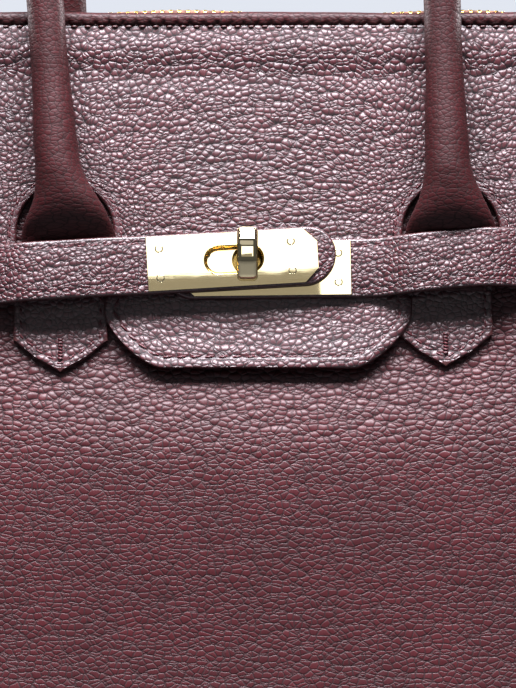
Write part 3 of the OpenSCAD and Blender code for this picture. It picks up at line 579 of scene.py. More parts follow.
def leather_sheet(
    name, outline, place, materials, thick,
    holes=(), step=2.0, seams=(2.6,), rim=0.8, relief=None, drawn=None, press=0.25,
):
    """A cut sheet: domed edge, painted sides, a channel under each seam and a pressed border."""
    loops = [resample(loop, OUTLINE_STEP) for loop in (outline, *holes)]
    points, faces = triangulated(loops, scatter(loops, step, seams))
    above_belt = points[:, 1] > STRAP_V
    channel = np.where(above_belt, min(seams), max(seams))
    depth = np.min([distance_to(points, loop) for loop in loops], 0)
    near = np.clip(depth / rim, 0, 1)
    rise = thick - rim + rim * np.sqrt(1 - (1 - near) ** 2)
    rise = rise - CHANNEL_DEPTH * bump_at(distance_to(points, loops[0]), channel, CHANNEL_HALF)
    if relief is not None:
        rise = rise + relief(points[:, 0], points[:, 1]) * ease(depth / RELIEF_FADE)

    n = len(points)
    sides = dict.fromkeys((tri[i], tri[(i + 1) % 3]) for tri in faces for i in range(3))
    walls = [(j, i, i + n, j + n) for i, j in sides if (j, i) not in sides]
    slots = [0] * (2 * len(faces)) + [1] * len(walls)
    for i in np.where(depth[faces].min(1) < ON_THE_EDGE)[0]:
        slots[i] = 1
    used = np.unique(faces)
    both = np.concatenate([used, used + n])
    renumber = -np.ones(2 * n, int)
    renumber[both] = np.arange(len(both))
    all_faces = [*faces, *(faces[:, ::-1] + n), *walls]
    all_faces = [[renumber[i] for i in face] for face in all_faces]

    top = place(points[:, 0], points[:, 1], rise)
    back = place(points[:, 0], points[:, 1], np.zeros(n))
    cut = points if drawn is None else drawn(points)
    uv = np.concatenate([cut, cut])[both] * MM
    made = make_object(name, np.concatenate([top, back])[both], all_faces, uv, materials, slots)
    made.data.set_sharp_from_angle(angle=math.radians(50))
    pressed = 1 - ease((depth - channel + PRESSED_FROM) / PRESSED_RUN)
    pressed = pressed * np.where(above_belt, press, PRESSED_BELOW_BELT)
    layer = made.data.attributes.new("pressed", "FLOAT", "POINT")
    layer.data.foreach_set("value", np.concatenate([pressed, pressed])[both].astype(np.float32))
    return made


print("sheet helper ready")

# %% [markdown]
# ## Stitches
# A saddle seam is a row of short thread lengths, each a little slanted, that dip into
# a hole at both ends. Each stitch is a small bead bent into that shape, and all beads
# of a seam are one mesh, which is far lighter than one object for each stitch.

# %% Stitch helper
BEAD_AROUND, BEAD_RINGS = 8, 7
THREAD_R, THREAD_ARCH, THREAD_SUNK = 0.42, 0.3, 0.5
BLUNT_END = 0.06


def stitch_row(
    name, line, place, lift, body, closed=False, pitch=STITCH, slant=9.0, thread=THREAD, length=0.8
):
    """Beads of thread along a flat line, each a share of the pitch long."""
    line = np.asarray(line, float)
    if closed:
        line = np.vstack([line, line[:1]])
    run = run_along(line)
    count = max(1, int(round(run[-1] / pitch)))

    def at(s):
        return np.stack([np.interp(s, run, line[:, 0]), np.interp(s, run, line[:, 1])], -1)

    tilt = math.radians(slant)
    points, faces = [], []
    for s in (np.arange(count) + 0.5) * run[-1] / count:
        ahead = at(min(s + 1, run[-1])) - at(max(s - 1, 0))
        ahead = ahead / np.linalg.norm(ahead)
        along = np.array([
            ahead[0] * math.cos(tilt) - ahead[1] * math.sin(tilt),
            ahead[0] * math.sin(tilt) + ahead[1] * math.cos(tilt),
        ])
        across = np.array([-along[1], along[0]])
        centre = at(s)
        faces += skin_faces(BEAD_RINGS, BEAD_AROUND, first=len(points), outward=False)
        for t in np.linspace(-1, 1, BEAD_RINGS):
            half = THREAD_R * math.sqrt(max(BLUNT_END, 1 - t**4))
            for turn in np.linspace(0, 2 * math.pi, BEAD_AROUND, endpoint=False):
                p = centre + along * t * pitch * length / 2 + across * half * math.cos(turn)
                points.append((*p, lift + THREAD_ARCH * (1 - t * t) - THREAD_SUNK + half * math.sin(turn)))
    points = np.array(points)
    made = make_object(name, place(*points.T), faces, points[:, :2] * MM, [thread])
    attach(made, body)
    return made


print("stitch helper ready, pitch", STITCH, "mm")

# %% [markdown]
# ## The body
# The real body is two panels, a base and two gussets, sewn into one soft shell that
# stands on its board. Five flat plates would show hard corners, so the body is one
# lofted skin instead: rings round the bag, from the base to the rim. Its corners are
# round, its front and back swell a little, and each side folds inward towards the
# rim as a gusset does. A solidify modifier gives the skin the leather's thickness.

# %% Body rings
CORNER = 7.0
FOLD, FOLD_POWER, FOLD_BASE_SHARE = 28.0, 1.6, 0.03
FRONT_POINTS, SIDE_POINTS, BEND_STEPS = 57, 41, 8


def half_width(s):
    return mix(BASE_W, RIM_W, s) / 2


def half_depth(s):
    return mix(BASE_D, RIM_D, s) / 2


def side_fold(y, s):
    """How far a gusset folds in at this depth and height."""
    middle = np.cos(np.pi / 2 * np.minimum(1, np.abs(y) / half_depth(s))) ** FOLD_POWER
    return FOLD * mix(FOLD_BASE_SHARE, 1, s**FOLD_POWER) * middle


def ring_round(s, inner, corner):
    """One ring of the body at a share of its height, drawn in by a wall, in millimetres."""
    w, d = half_width(s) - inner, half_depth(s) - inner
    x = np.linspace(-w + corner, w - corner, FRONT_POINTS)
    front = np.stack([x, -d - belly(x, np.full(len(x), s * PANEL_L))], 1)
    bend = arc(w - corner, -d + corner, corner, -90, 0, BEND_STEPS)[1:-1]
    y = np.linspace(-d + corner, d - corner, SIDE_POINTS)
    side = np.stack([w - side_fold(y, s) * ease((d - np.abs(y)) / corner - 1), y], 1)
    half = np.vstack([front, bend, side, (bend * [1, -1])[::-1]])
    return np.vstack([half, half * [-1, -1]])


print("a ring has", len(ring_round(0.5, 0.0, CORNER)), "points")

# %% Body shell
ROW_POWER = 1.15
LOWER_EDGE_END, LOWER_EDGE_ROWS = 75, 6


def modify(piece, name, kind, **settings):
    """Adds a modifier with its settings."""
    made = piece.modifiers.new(name, kind)
    for key, value in settings.items():
        setattr(made, key, value)


def body_skin(name, inner, top_s, rows, corner, material, thick):
    """A skin of rings up the bag, with a rounded lower edge and a closed base, thickened inward."""
    base_z = PANEL_Z - LEATHER + inner
    base_ring = ring_round(0.0, inner, corner)
    base_size = np.array([half_width(0) - inner, half_depth(0) - inner])
    levels = []
    for turn in np.radians(np.linspace(0, LOWER_EDGE_END, LOWER_EDGE_ROWS)):
        drawn_in = CORNER * (1 - math.sin(turn))
        levels.append((base_ring * (1 - drawn_in / base_size), base_z + CORNER * (1 - math.cos(turn))))
    for s in top_s * np.linspace(0, 1, rows) ** ROW_POWER:
        z = PANEL_Z + s * BODY_H
        if z > base_z + CORNER:
            levels.append((ring_round(s, inner, corner), z))
    points = np.vstack([np.column_stack([ring, np.full(len(ring), z)]) for ring, z in levels])
    run = np.concatenate([run_along(ring) for ring, _ in levels])
    faces = skin_faces(len(levels), len(base_ring), ends=1)
    made = make_object(name, points * MM, faces, np.column_stack([run, points[:, 2]]) * MM, [material])
    modify(made, "leather thickness", "SOLIDIFY", thickness=thick * MM, offset=-1, use_even_offset=True)
    return made


shell = body_skin("body_shell", 0.0, 1.0, 46, CORNER, GRAIN_BODY, LEATHER)
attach(shell, "bag")
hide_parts("front_panel", "back_panel", "base_panel", "gusset_left", "gusset_right")
print("body shell:", len(shell.data.polygons), "faces")

# %% [markdown]
# ## The flap
# The flap is one piece of hide sewn in at the rim. Two arched notches let the handle
# bases through, and a tongue hangs below the belts. It is cut and laid with the sheet
# helper. A soft roll just below the rim catches the light, as padding there does.

# %% Flap outline
ARCH_R, ARCH_TOP_DROP = 15.7, 54.0
ARCH_V = PANEL_L - ARCH_TOP_DROP - ARCH_R
FLAP_SIDE_DROP, SIDE_INSET, UNDER_ROLL = 82.0, 3.5, 0.6
TONGUE_W, TONGUE_FOOT, TONGUE_DROP, TONGUE_CORNER = 99.0, 62.0, 114.4, 18.0
TONGUE_CORNER_POWER, TONGUE_SHOULDER = 1.4, 2.0
SHOULDER_V = STRAP_V - STRAP_W / 2
SLOT_L, SLOT_W = 19.4, 9.6


def flap_outline():
    """The right half from the rim down to the tongue's foot, and the same mirrored."""
    side_v = PANEL_L - FLAP_SIDE_DROP
    low_s = 1 - FLAP_SIDE_DROP / BODY_H
    turn = np.radians(np.linspace(0, 90, 14))
    corner = np.stack([
        mix(TONGUE_FOOT / 2, TONGUE_W / 2, np.cos(turn) ** TONGUE_CORNER_POWER),
        PANEL_L - TONGUE_DROP + TONGUE_CORNER * (1 - np.sin(turn) ** TONGUE_CORNER_POWER),
    ], 1)
    half = np.vstack([
        [half_width(1) - SIDE_INSET, PANEL_L + UNDER_ROLL],
        [half_width(low_s) - SIDE_INSET, side_v],
        [LEG_X + ARCH_R, side_v],
        arc(LEG_X, ARCH_V, ARCH_R, 0, 180, 32),
        [LEG_X - ARCH_R, SHOULDER_V],
        [TONGUE_W / 2, SHOULDER_V - TONGUE_SHOULDER],
        corner,
    ])
    return np.vstack([half, (half * [-1, 1])[::-1]])


def slot_loop(x, v, length, width):
    """A slot with round ends."""
    r, run = width / 2, (length - width) / 2
    return np.vstack([arc(x + run, v, r, -90, 90, 10), arc(x - run, v, r, 90, 270, 10)])


print("flap outline:", len(flap_outline()), "points")

# %% Flap
ROLL_H, ROLL_DROP, ROLL_HALF = 0.8, 9.5, 6.0
DIP_H, DIP_DROP, DIP_HALF = 0.45, 18.0, 4.5
UNEVEN_H, UNEVEN_ACROSS, UNEVEN_UP = 0.25, 23.0, 17.0
QUIET_ROUND_LOCK = 26.0
PULL, PULL_RISE, PULL_REACH = 7.0, 8.0, 42.0
TONGUE_SPRING, SPRING_DROP, SPRING_RUN = 1.5, 12.0, 19.0
ARCH_SEAM, TONGUE_SEAM = 2.4, 3.7


def flap_relief(x, v):
    """The padded roll below the rim, and a slow unevenness of the hide."""
    drop = PANEL_L - v
    roll = ROLL_H * bump_at(drop, ROLL_DROP, ROLL_HALF) - DIP_H * bump_at(drop, DIP_DROP, DIP_HALF)
    slow = UNEVEN_H * np.sin(x / UNEVEN_ACROSS) * np.sin(v / UNEVEN_UP + 1.0)
    quiet = 1 - bump_at(np.hypot(x - LOCK_X, v - LOCK_V), 0, QUIET_ROUND_LOCK)
    return (roll + slow) * quiet


def pulled_round(points):
    """The grain's own map: round each arch the hide is pulled, so pebbles crowd into arcs there."""
    moved = points.copy()
    for side in (-1, 1):
        away = points - [side * LEG_X, ARCH_V]
        reach = np.maximum(np.linalg.norm(away, axis=1), 1)
        push = PULL * (1 - np.exp(-np.maximum(reach - ARCH_R, 0) / PULL_RISE))
        push = push * bump_at(reach, ARCH_R, PULL_REACH)
        moved = moved + away / reach[:, None] * push[:, None]
    return moved


def at_flap(x, v, h):
    """The flap lies on the front, and its loose tongue stands off a little below the belts."""
    spring = TONGUE_SPRING * ease((STRAP_V - SPRING_DROP - np.asarray(v, float)) / SPRING_RUN)
    return on_front(x, v, FLAP_OUT + h + spring)


flap = leather_sheet(
    "flap_leather", flap_outline(), at_flap, [GRAIN_TOP, EDGE], FLAP_T,
    holes=[slot_loop(LOCK_X, LOCK_V, SLOT_L, SLOT_W)], step=1.8, seams=(ARCH_SEAM, TONGUE_SEAM),
    relief=flap_relief, drawn=pulled_round, press=1.0,
)
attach(flap, "bag")
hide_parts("flap")
print("flap:", len(flap.data.polygons), "faces")

# %% Flap seams
TONGUE_SEAM_TOP, ARCH_SEAM_FOOT = STRAP_V - 7, STRAP_V - 4
RIM_SEAM_V, RIM_SEAM_HALF = PANEL_L - 2.5, RIM_W / 2 - 6
SORTED_ROUND_V = STRAP_V + 20
SIDES = ((-1, "left"), (1, "right"))
tongue_loop = shifted(resample(flap_outline(), 1.0), TONGUE_SEAM)
tongue_line = tongue_loop[tongue_loop[:, 1] < TONGUE_SEAM_TOP]
order = np.argsort(np.arctan2(tongue_line[:, 0], SORTED_ROUND_V - tongue_line[:, 1]))
tongue_line = tongue_line[order]
seam_rows = [stitch_row("tongue_seam_thread", tongue_line, at_flap, FLAP_T, "bag")]
for side, word in SIDES:
    seam_r = ARCH_R + ARCH_SEAM
    round_arch = arc(side * LEG_X, ARCH_V, seam_r, -4, 184, 60)
    ends = [(side * LEG_X + way * seam_r, ARCH_SEAM_FOOT) for way in (1, -1)]
    arch_line = resample(np.vstack([ends[:1], round_arch, ends[1:]]), 1.0, closed=False)
    row = stitch_row(f"arch_{word}_thread", arch_line, at_flap, FLAP_T, "bag", pitch=3.6, slant=16)
    seam_rows.append(row)
# The rim seam's short beads wear the dark edge paint: they are the stitches, and also painted shade of the
# pucker each one pulls below the roll.
rim_line = resample([(way * RIM_SEAM_HALF, RIM_SEAM_V) for way in (-1, 1)], 2.0, closed=False)
seam_rows.append(
    stitch_row("rim_seam_thread_and_shade", rim_line, at_flap, FLAP_T + 0.6, "bag", slant=3, thread=EDGE, length=0.5)
)
bead = BEAD_AROUND * BEAD_RINGS
print("flap seams:", [len(row.data.vertices) // bead for row in seam_rows], "stitches")

# %% [markdown]
# ## The belts
# Each belt starts on the back, comes round the side, rises over a handle's base and
# ends in a round tip under its plate. A belt is a flat strip bent along a path, so it
# is cut flat, as long as the path, and the place function bends it: along the path,
# up across the strip and out from the bag.

# %% Belt path
LOW_OUT, HIGH_OUT, HANDLE_OUT, SIDE_OUT = 3.5, 6.7, 8.6, 3.5
TILTS, SINKS = {-1: 3.4, 1: 0.7}, {-1: 0.0, 1: 2.8}
SLOTS, TIPS = {-1: -7.7, 1: 1.4}, {-1: 25.0, 1: -30.0}
BACK_RUN = 42.0
LAYER_GAP = 0.3
RISE_X, LEVEL_X = 35.6, 84.0
RIGHT_LIFT, LIFT_FROM, LIFT_RUN, LIFT_TO, LIFT_FADE = 2.6, 34.0, 42.0, 90.0, 40.0
BEND_STEP = 7.5


def belt_path(side):
    """Points of a belt's middle line, the way out and the way up, from its tip to its end on the back."""
    share = STRAP_V / PANEL_L
    edge_x = half_width((STRAP_V - STRAP_W / 2) / PANEL_L) + LAYER_GAP
    edge_y = half_depth(share) + SIDE_OUT / math.cos(SLOPE)
    sewn_y = half_depth(share) + SEWN_GAP
    corner_x, corner_y = edge_x - SIDE_OUT, edge_y - SIDE_OUT

    x = np.linspace(side * TIPS[side], corner_x, 120)
    lift = side * math.tan(math.radians(TILTS[side])) * (x - side * LOCK_X) - SINKS[side]
    lift = lift * (1 - ease((x - LEVEL_X) / (corner_x - LEVEL_X)))
    if side > 0:
        lift = lift + RIGHT_LIFT * ease((x - LIFT_FROM) / LIFT_RUN) * (1 - ease((x - LIFT_TO) / LIFT_FADE))
    near_x, far_x = LEG_X - STRAP_W / 2, LEG_X + STRAP_W / 2
    rising = mix(HIGH_OUT if side < 0 else LOW_OUT, HANDLE_OUT, ease((x - RISE_X) / (near_x - RISE_X)))
    falling = mix(HANDLE_OUT, SIDE_OUT, ease((x - far_x) / STRAP_W))
    out = np.where(x < far_x, rising, falling) - belly(x, STRAP_V + lift)
    sloping = (0, -math.cos(SLOPE), math.sin(SLOPE)), (0, math.sin(SLOPE), math.cos(SLOPE))
    places = [(p, *sloping) for p in on_front(x, STRAP_V + lift, out) / MM]

    bend = np.radians(np.arange(BEND_STEP, 90, BEND_STEP))
    round_front, round_back = [
        [(corner_x + SIDE_OUT * math.sin(a), y - SIDE_OUT * math.cos(a), a) for a in turns]
        for y, turns in ((-corner_y, bend), (corner_y, bend + math.pi / 2))
    ]
    down_side = [(edge_x, y, math.pi / 2) for y in np.linspace(-corner_y, corner_y, 30)]
    on_the_back = [
        (corner_x - (BACK_RUN - SIDE_OUT) * s, mix(edge_y, sewn_y, float(ease(2 * s))), math.pi)
        for s in np.linspace(0, 1, 16)
    ]
    for px, py, turn in round_front + down_side + round_back + on_the_back:
        lean = SLOPE * abs(math.cos(turn))
        h = np.array([math.sin(turn), -math.cos(turn), 0])
        outward = h * math.cos(lean) + [0, 0, math.sin(lean)]
        up = -h * math.sin(lean) + [0, 0, math.cos(lean)]
        places.append(((px, py, PANEL_Z + STRAP_V * math.cos(SLOPE)), outward, up))
    flip = np.array([side, 1, 1])
    return [np.array(table, float) * flip for table in zip(*places)]


def belt_place(side):
    """A place function: along the belt, across it and out from it. Also the belt's length."""
    path = belt_path(side)
    run = run_along(path[0])

    def place(u, w, h):
        u, w, h = (np.asarray(a, float) for a in np.broadcast_arrays(u, w, h))
        at, out, up = (np.stack([np.interp(u, run, table[:, i]) for i in range(3)], -1) for table in path)
        out = out / np.linalg.norm(out, axis=-1, keepdims=True)
        up = up / np.linalg.norm(up, axis=-1, keepdims=True)
        return (at + out * h[..., None] + up * (w * side)[..., None]) * MM

    return place, run[-1]


print("belt paths:", [round(belt_place(side)[1]) for side in (-1, 1)], "mm long")

# %% Belts
BELT_SEAM, BELT_DOME, BELT_GRAIN = 2.5, 0.35, 1.15
SLOT_ROOM = 2.0


def belt_outline(length):
    """A strip with a round tip and a square end."""
    r = STRAP_W / 2
    return np.vstack([arc(r, 0, r, 90, 270, 24), [length, -r], [length, r]])


for side, word in SIDES:
    place, length = belt_place(side)
    slot_u = side * (SLOTS[side] - TIPS[side])
    belt = leather_sheet(
        f"belt_{word}", belt_outline(length), place, [GRAIN_TOP, EDGE], STRAP_T,
        holes=[slot_loop(slot_u, SINKS[side], SLOT_L + SLOT_ROOM, SLOT_W + SLOT_ROOM)],
        step=1.5, seams=(BELT_SEAM,),
        relief=lambda u, w: BELT_DOME * (1 - (w / (STRAP_W / 2)) ** 2),
        drawn=lambda points: points * BELT_GRAIN,
    )
    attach(belt, "bag")
    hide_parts(f"strap_{word}")
    line = shifted(resample(belt_outline(length), 1.0), BELT_SEAM)
    stitch_row(f"belt_{word}_thread", line, place, STRAP_T, "bag", closed=True)
    print(belt.name, round(length), "mm long,", len(belt.data.polygons), "faces")

# %% [markdown]
# ## The handles and their bases
# A rolled handle is leather wrapped round a cord and sewn shut underneath. At each foot
# the roll opens into a flared bell that lies flat under the belt, and a pointed tab
# below it is sewn to the bag. Leg, arch and bell are one skin here, so the flare grows
# out of the leg as it does on the bag. The front handle leans a little to the left, as
# a handle that is let go does. The skin bends round the bell's top when it tilts.

# %% Handle sizes
GRIP_R, LEG_FOOT_R, TAPER_RUN = 6.0, 7.2, 34.0
ARCH_UP, HANDLE_ARCH_R, LEAN = 32.0, 64.4, math.radians(1.6)
HANDLE_H = 11.2
BELL_TOP, BELL_FOOT = BEND_V - 3, SHOULDER_V
NECK_HALF, BELL_HALF = 7.6, 15.3
NECK_FRONT, FOOT_FRONT = HANDLE_H + 7.4, 2.6
NECK_BACK, FOOT_BACK = HANDLE_H - 7.8, 0.7
BELL_DROP_SHARES = [0, 0.12, 0.24, 0.34, 0.43, 0.52, 0.66, 0.82, 1]
BELL_WIDTH_SHARES = [0, 0.14, 0.36, 0.6, 0.81, 0.97, 1, 0.95, 0.85]
BELL_FRONT_SHARES = [1, 0.96, 0.9, 0.81, 0.67, 0.4, 0.18, 0.07, 0]
BELL_BACK_SHARES = [1, 1, 1, 0.7, 0.25, 0, 0, 0, 0]
BELL_ROWS, LEG_ROWS, ARCH_ROWS = 26, 34, 34
SWAY_EASED, SWAY_EASE_FROM, SWAY_EASE_RUN = 0.5, 50.0, 100.0
LEFT_FOOT_STEP, STEP_BELOW, STEP_RUN, STEP_ACROSS = -1.2, 14.0, 18.0, 100.0
FLEX_BELOW, FLEX_ABOVE = 9, 7


def handle_rings(lean_left, steps):
    """Rings of one handle, from the left bell's foot to the right one's: centre and two half axes."""
    half = []
    for drop in np.linspace(1, 0, BELL_ROWS):
        a = mix(NECK_HALF, BELL_HALF, np.interp(drop, BELL_DROP_SHARES, BELL_WIDTH_SHARES))
        front = mix(FOOT_FRONT, NECK_FRONT, np.interp(drop, BELL_DROP_SHARES, BELL_FRONT_SHARES))
        back = mix(FOOT_BACK, NECK_BACK, np.interp(drop, BELL_DROP_SHARES, BELL_BACK_SHARES))
        v = mix(BELL_TOP, BELL_FOOT, drop)
        half.append(((LEG_X, v, (front + back) / 2), (a, 0, 0), (0, 0, (front - back) / 2)))
    arch_v = PANEL_L + ARCH_UP
    for v in np.linspace(BEND_V, arch_v, LEG_ROWS)[:-1]:
        r = mix(LEG_FOOT_R, GRIP_R, float(ease((v - BEND_V) / TAPER_RUN)))
        half.append(((LEG_X + (v - BEND_V) * math.tan(LEAN), v, HANDLE_H), (r, 0, 0), (0, 0, r)))
    for turn in np.linspace(-LEAN, math.pi / 2, ARCH_ROWS):
        c, s = math.cos(turn), math.sin(turn)
        at = (HANDLE_ARCH_R * c, arch_v + HANDLE_ARCH_R * s, HANDLE_H)
        half.append((at, (GRIP_R * c, GRIP_R * s, 0), (0, 0, GRIP_R)))
    half = np.array(half)
    other = half[:-1] * np.array([[-1, 1, 1], [-1, 1, 1], [1, 1, 1]])
    rings = np.concatenate([other, half[::-1]])

    centre_x, centre_v = rings[:, 0, 0], rings[:, 0, 1]
    up = np.maximum(0, centre_v - BELL_TOP)
    sway = up * (1 - SWAY_EASED * ease((up - SWAY_EASE_FROM) / SWAY_EASE_RUN))
    sway = sway * math.tan(math.radians(lean_left))
    right = ease(centre_x / STEP_ACROSS + 0.5)
    above_foot = ease((centre_v - BELL_TOP + STEP_BELOW) / STEP_RUN)
    step = mix(mix(LEFT_FOOT_STEP, 0, right), mix(*steps, right), above_foot)
    rings[:, 0, 0] -= sway + step
    return rings


print("handle:", len(handle_rings(0, (0, 0))), "rings")

# %% Rolled handle
AROUND = 40
GRIP_ROUND = 0.044
SEAM_DIP, SEAM_TURN, SEAM_HALF = 0.5, 1.5 * math.pi, 0.16
RING_SIZE = 10.0
WRINKLE, WRINKLE_ALONG, WRINKLE_FADES = 0.10, 3.1, 11.0


def rolled_handle(name, place, lean_left, steps):
    """One skin from bell to bell, with the seam underneath pressed in and the hide a little wrinkled."""
    rings = handle_rings(lean_left, steps)
    centre, wide, deep = (rings[:, i, None] for i in range(3))
    run = run_along(rings[:, 0])
    turn = np.linspace(0, 2 * math.pi, AROUND, endpoint=False)
    seam = SEAM_DIP * bump_at(turn, SEAM_TURN, SEAM_HALF)
    wrinkle = np.sin(run[:, None] / WRINKLE_ALONG + 2 * np.sin(turn))
    wrinkle = WRINKLE * wrinkle * np.sin(run[:, None] / WRINKLE_FADES + turn)
    pull = 1 + (wrinkle - seam) / RING_SIZE
    spoke = wide * np.cos(turn)[:, None] + deep * np.sin(turn)[:, None]
    points = (centre + spoke * pull[..., None]).reshape(-1, 3)
    uv = [(k / AROUND * GRIP_ROUND, along * MM) for along in run for k in range(AROUND)]
    made = make_object(name, place(*points.T), skin_faces(len(rings), AROUND), uv, [HANDLE_LEATHER])
    layer = made.data.uv_layers[0].data
    quads = list(made.data.polygons)[: (len(rings) - 1) * AROUND]
    for face in quads[AROUND - 1 :: AROUND]:
        for loop in face.loop_indices:
            if made.data.loops[loop].vertex_index % AROUND == 0:
                layer[loop].uv[0] = GRIP_ROUND
    return made


print("a handle is rolled from", AROUND, "points a ring")

# %% Handle tabs
TAB_R, TAB_NECK_R, TAB_T = 15.2, 11.0, 2.3
TAB_SEAM, TAB_RIM = 2.4, 0.7
TAB_SHIFTS, TAB_DROPS = {-1: 1.2, 1: 2.0}, {-1: 2.3, 1: 0.4}
TAB_TOP_DROP, TAB_SHOULDER_DROP, TAB_TIP_DROP = 70.0, 102.6, 113.0
TAB_CORNER_SHARE, TAB_SIDE_TOP = 0.55, STRAP_V - 6
BAR_LOW, BAR_HIGH, BAR_LIFT = 3.8, 11.0, 0.6


def tab_outline(side):
    """The pointed tab: narrow under the bell, wide below the belt. Each hangs a little its own way."""
    neck_x, x = side * LEG_X, side * LEG_X - TAB_SHIFTS[side]
    shoulder = PANEL_L - TAB_SHOULDER_DROP - TAB_DROPS[side]
    tip = PANEL_L - TAB_TIP_DROP - TAB_DROPS[side]
    low = mix(shoulder, tip, TAB_CORNER_SHARE)
    left = [
        (neck_x - TAB_NECK_R, STRAP_V), (x - TAB_R, TAB_SIDE_TOP), (x - TAB_R, shoulder),
        (x - TAB_CORNER_SHARE * TAB_R, low),
    ]
    right = [
        (x + TAB_CORNER_SHARE * TAB_R, low), (x + TAB_R, shoulder), (x + TAB_R, TAB_SIDE_TOP),
        (neck_x + TAB_NECK_R, STRAP_V),
    ]
    neck = arc(neck_x, PANEL_L - TAB_TOP_DROP, TAB_NECK_R, 0, 180, 30)
    return np.vstack([neck, left, (x, tip), right])


def handle_tab(name, side, place):
    """A tab with the seam along its lower part and a bar tack that holds its point."""
    def at_tab(x, v, h):
        return place(x, v, h + SEWN_GAP)

    outline = tab_outline(side)
    tab = leather_sheet(
        f"handle_tab_{name}", outline, at_tab, [GRAIN_TOP, EDGE], TAB_T,
        step=1.5, seams=(TAB_SEAM,), rim=TAB_RIM,
    )
    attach(tab, "bag")
    line = shifted(resample(outline, 0.8), TAB_SEAM)
    line = line[line[:, 1] < TAB_SIDE_TOP]
    order = np.argsort(np.arctan2(line[:, 0] - side * LEG_X, STRAP_V - line[:, 1]))
    stitch_row(f"handle_tab_{name}_thread", line[order], at_tab, TAB_T, "bag", pitch=3.9)
    tip_x, tip_v = min(outline, key=lambda point: point[1])
    bar = [(tip_x, tip_v + BAR_LOW), (tip_x, tip_v + BAR_HIGH)]
    stitch_row(f"bar_tack_{name}", bar, at_tab, TAB_T + BAR_LIFT, "bag", pitch=1.1, slant=80, length=1.5)


print("tab helper ready, tabs", 2 * TAB_R, "mm wide")

# %% Both handles
HANDLES = (("front", on_front, 3.1, (2.1, 1.3)), ("back", on_back, 1.0, (2.1, -2.7)))
for word, place, lean_left, steps in HANDLES:
    handle = rolled_handle(f"rolled_handle_{word}", place, lean_left, steps)
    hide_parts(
        f"handle_{word}", f"handle_{word}_core",
        f"handle_{word}_base_left", f"handle_{word}_base_right",
    )
    low, high = (place(0, v, HANDLE_H) for v in (BEND_V - FLEX_BELOW, BEND_V + FLEX_ABOVE))
    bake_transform(handle)
    for side, name in SIDES:
        handle_tab(f"{word}_{name}", side, place)
    print(handle.name, len(handle.data.polygons), "faces, leaning", lean_left, "degrees")

# %% [markdown]
# ## The rolled rim
# A strip of the same hide is folded over the top edge of each side and sewn through
# all layers, so the rim reads as a soft roll. Each stitch pulls a small dark pucker
# into the strip. The roll is a bent profile drawn along the rim, a little uneven, with
# the puckers pressed into its mesh. Folding flattens the pebbles, so the roll wears the
# handles' smoother leather.

# %% Rolled rims
ROLL_LEG_V, ROLL_ROOF_V = PANEL_L - 1.9, PANEL_L + 1.3
FRONT_OFF, FRONT_BULGE, FRONT_TOP = 0.15, 1.0, 0.4
TOP_OUT, TOP_LOW, TOP_HIGH = 0.9, 0.2, 1.3
BACK_BULGE, BACK_FOOT, TUCKED = 1.0, 0.9, 0.3
RIM_POINTS, SHARP_POINTS = 620, 4
PUCKER, PUCKER_UP, PUCKER_HALF = 0.8, 0.3, 0.9
ROLL_SWEEP = 1.87
WANDERS = ((0.2, 13.0, 1), (0.06, 5.2, 2))
UNEVEN = 1.1
FLAP_FACE = FLAP_OUT + FLAP_T
GRAIN_SHIFT = 300.0


def roll_profile(front_out):
    """The roll cut across, as out and up: a round front, a round top and a tucked-in back."""
    low, high = -LEATHER - SEWN_GAP, front_out + SEWN_GAP
    leg, roof = ROLL_LEG_V, ROLL_ROOF_V
    belly_turn = np.radians(np.linspace(-80, 60, 15))
    up_front = mix(leg, roof + FRONT_TOP, (np.sin(belly_turn) + 1) / ROLL_SWEEP)
    front = np.stack([high + FRONT_OFF + FRONT_BULGE * np.cos(belly_turn), up_front], 1)
    over = np.radians(np.linspace(45, 180, 16))
    top_out = (low + high) / 2 + ((high - low) / 2 + TOP_OUT) * np.cos(over)
    top = np.stack([top_out, roof + mix(TOP_LOW, TOP_HIGH, np.sin(over))], 1)
    back = [(low - BACK_BULGE, mix(roof, leg, 0.5)), (low - BACK_FOOT, leg), (low, leg)]
    tuck = [(low, roof - TUCKED), (high, roof - TUCKED), (high, leg)]
    return np.vstack([front, top, back, tuck]), len(front) + len(top) - SHARP_POINTS


def rim_roll(name, place, front_out, side):
    """A soft roll along the rim: a round front, a tucked-in seam and slanting wrinkles."""
    profile, soft_count = roll_profile(front_out)
    count = len(profile)
    x = np.linspace(-RIM_W / 2, RIM_W / 2, RIM_POINTS)
    grid_x = np.repeat(x[:, None], count, 1)
    h, v = (np.repeat(profile[None, :, i], len(x), 0) for i in (0, 1))
    soft = np.zeros(count)
    soft[:soft_count] = 1
    # Waves of different lengths are added up, so the wrinkles come unevenly.
    wander = sum(tall * np.sin(x / long + turn * side) for tall, long, turn in WANDERS)
    slant = grid_x * 1.5 + (v - ROLL_LEG_V) * 1.9
    wrinkle = 0.03 * np.sin(slant) + 0.04 * np.sin(slant * 0.63 + 2 * np.sin(grid_x / 7))
    wrinkle = wrinkle + 0.03 * np.sin(slant * 1.9 + np.sin(grid_x / 3))
    v = v + wander[:, None] * np.clip((v - ROLL_LEG_V) / 4, 0, 1) * soft
    h = h + soft * wrinkle * UNEVEN
    beat = np.clip(np.cos(2 * math.pi * x / STITCH), 0, 1)[:, None] ** 2
    h = h - PUCKER * beat * bump_at(v, ROLL_LEG_V + PUCKER_UP, PUCKER_HALF) * soft
    uv = np.stack([grid_x.ravel(), np.tile(run_along(profile), len(x)) + GRAIN_SHIFT * side], 1) * MM
    faces = skin_faces(len(x), count, outward=False)
    made = make_object(name, place(grid_x.ravel(), v.ravel(), h.ravel()), faces, uv, [HANDLE_LEATHER])
    made.data.set_sharp_from_angle(angle=math.radians(70))
    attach(made, "bag")
    return made


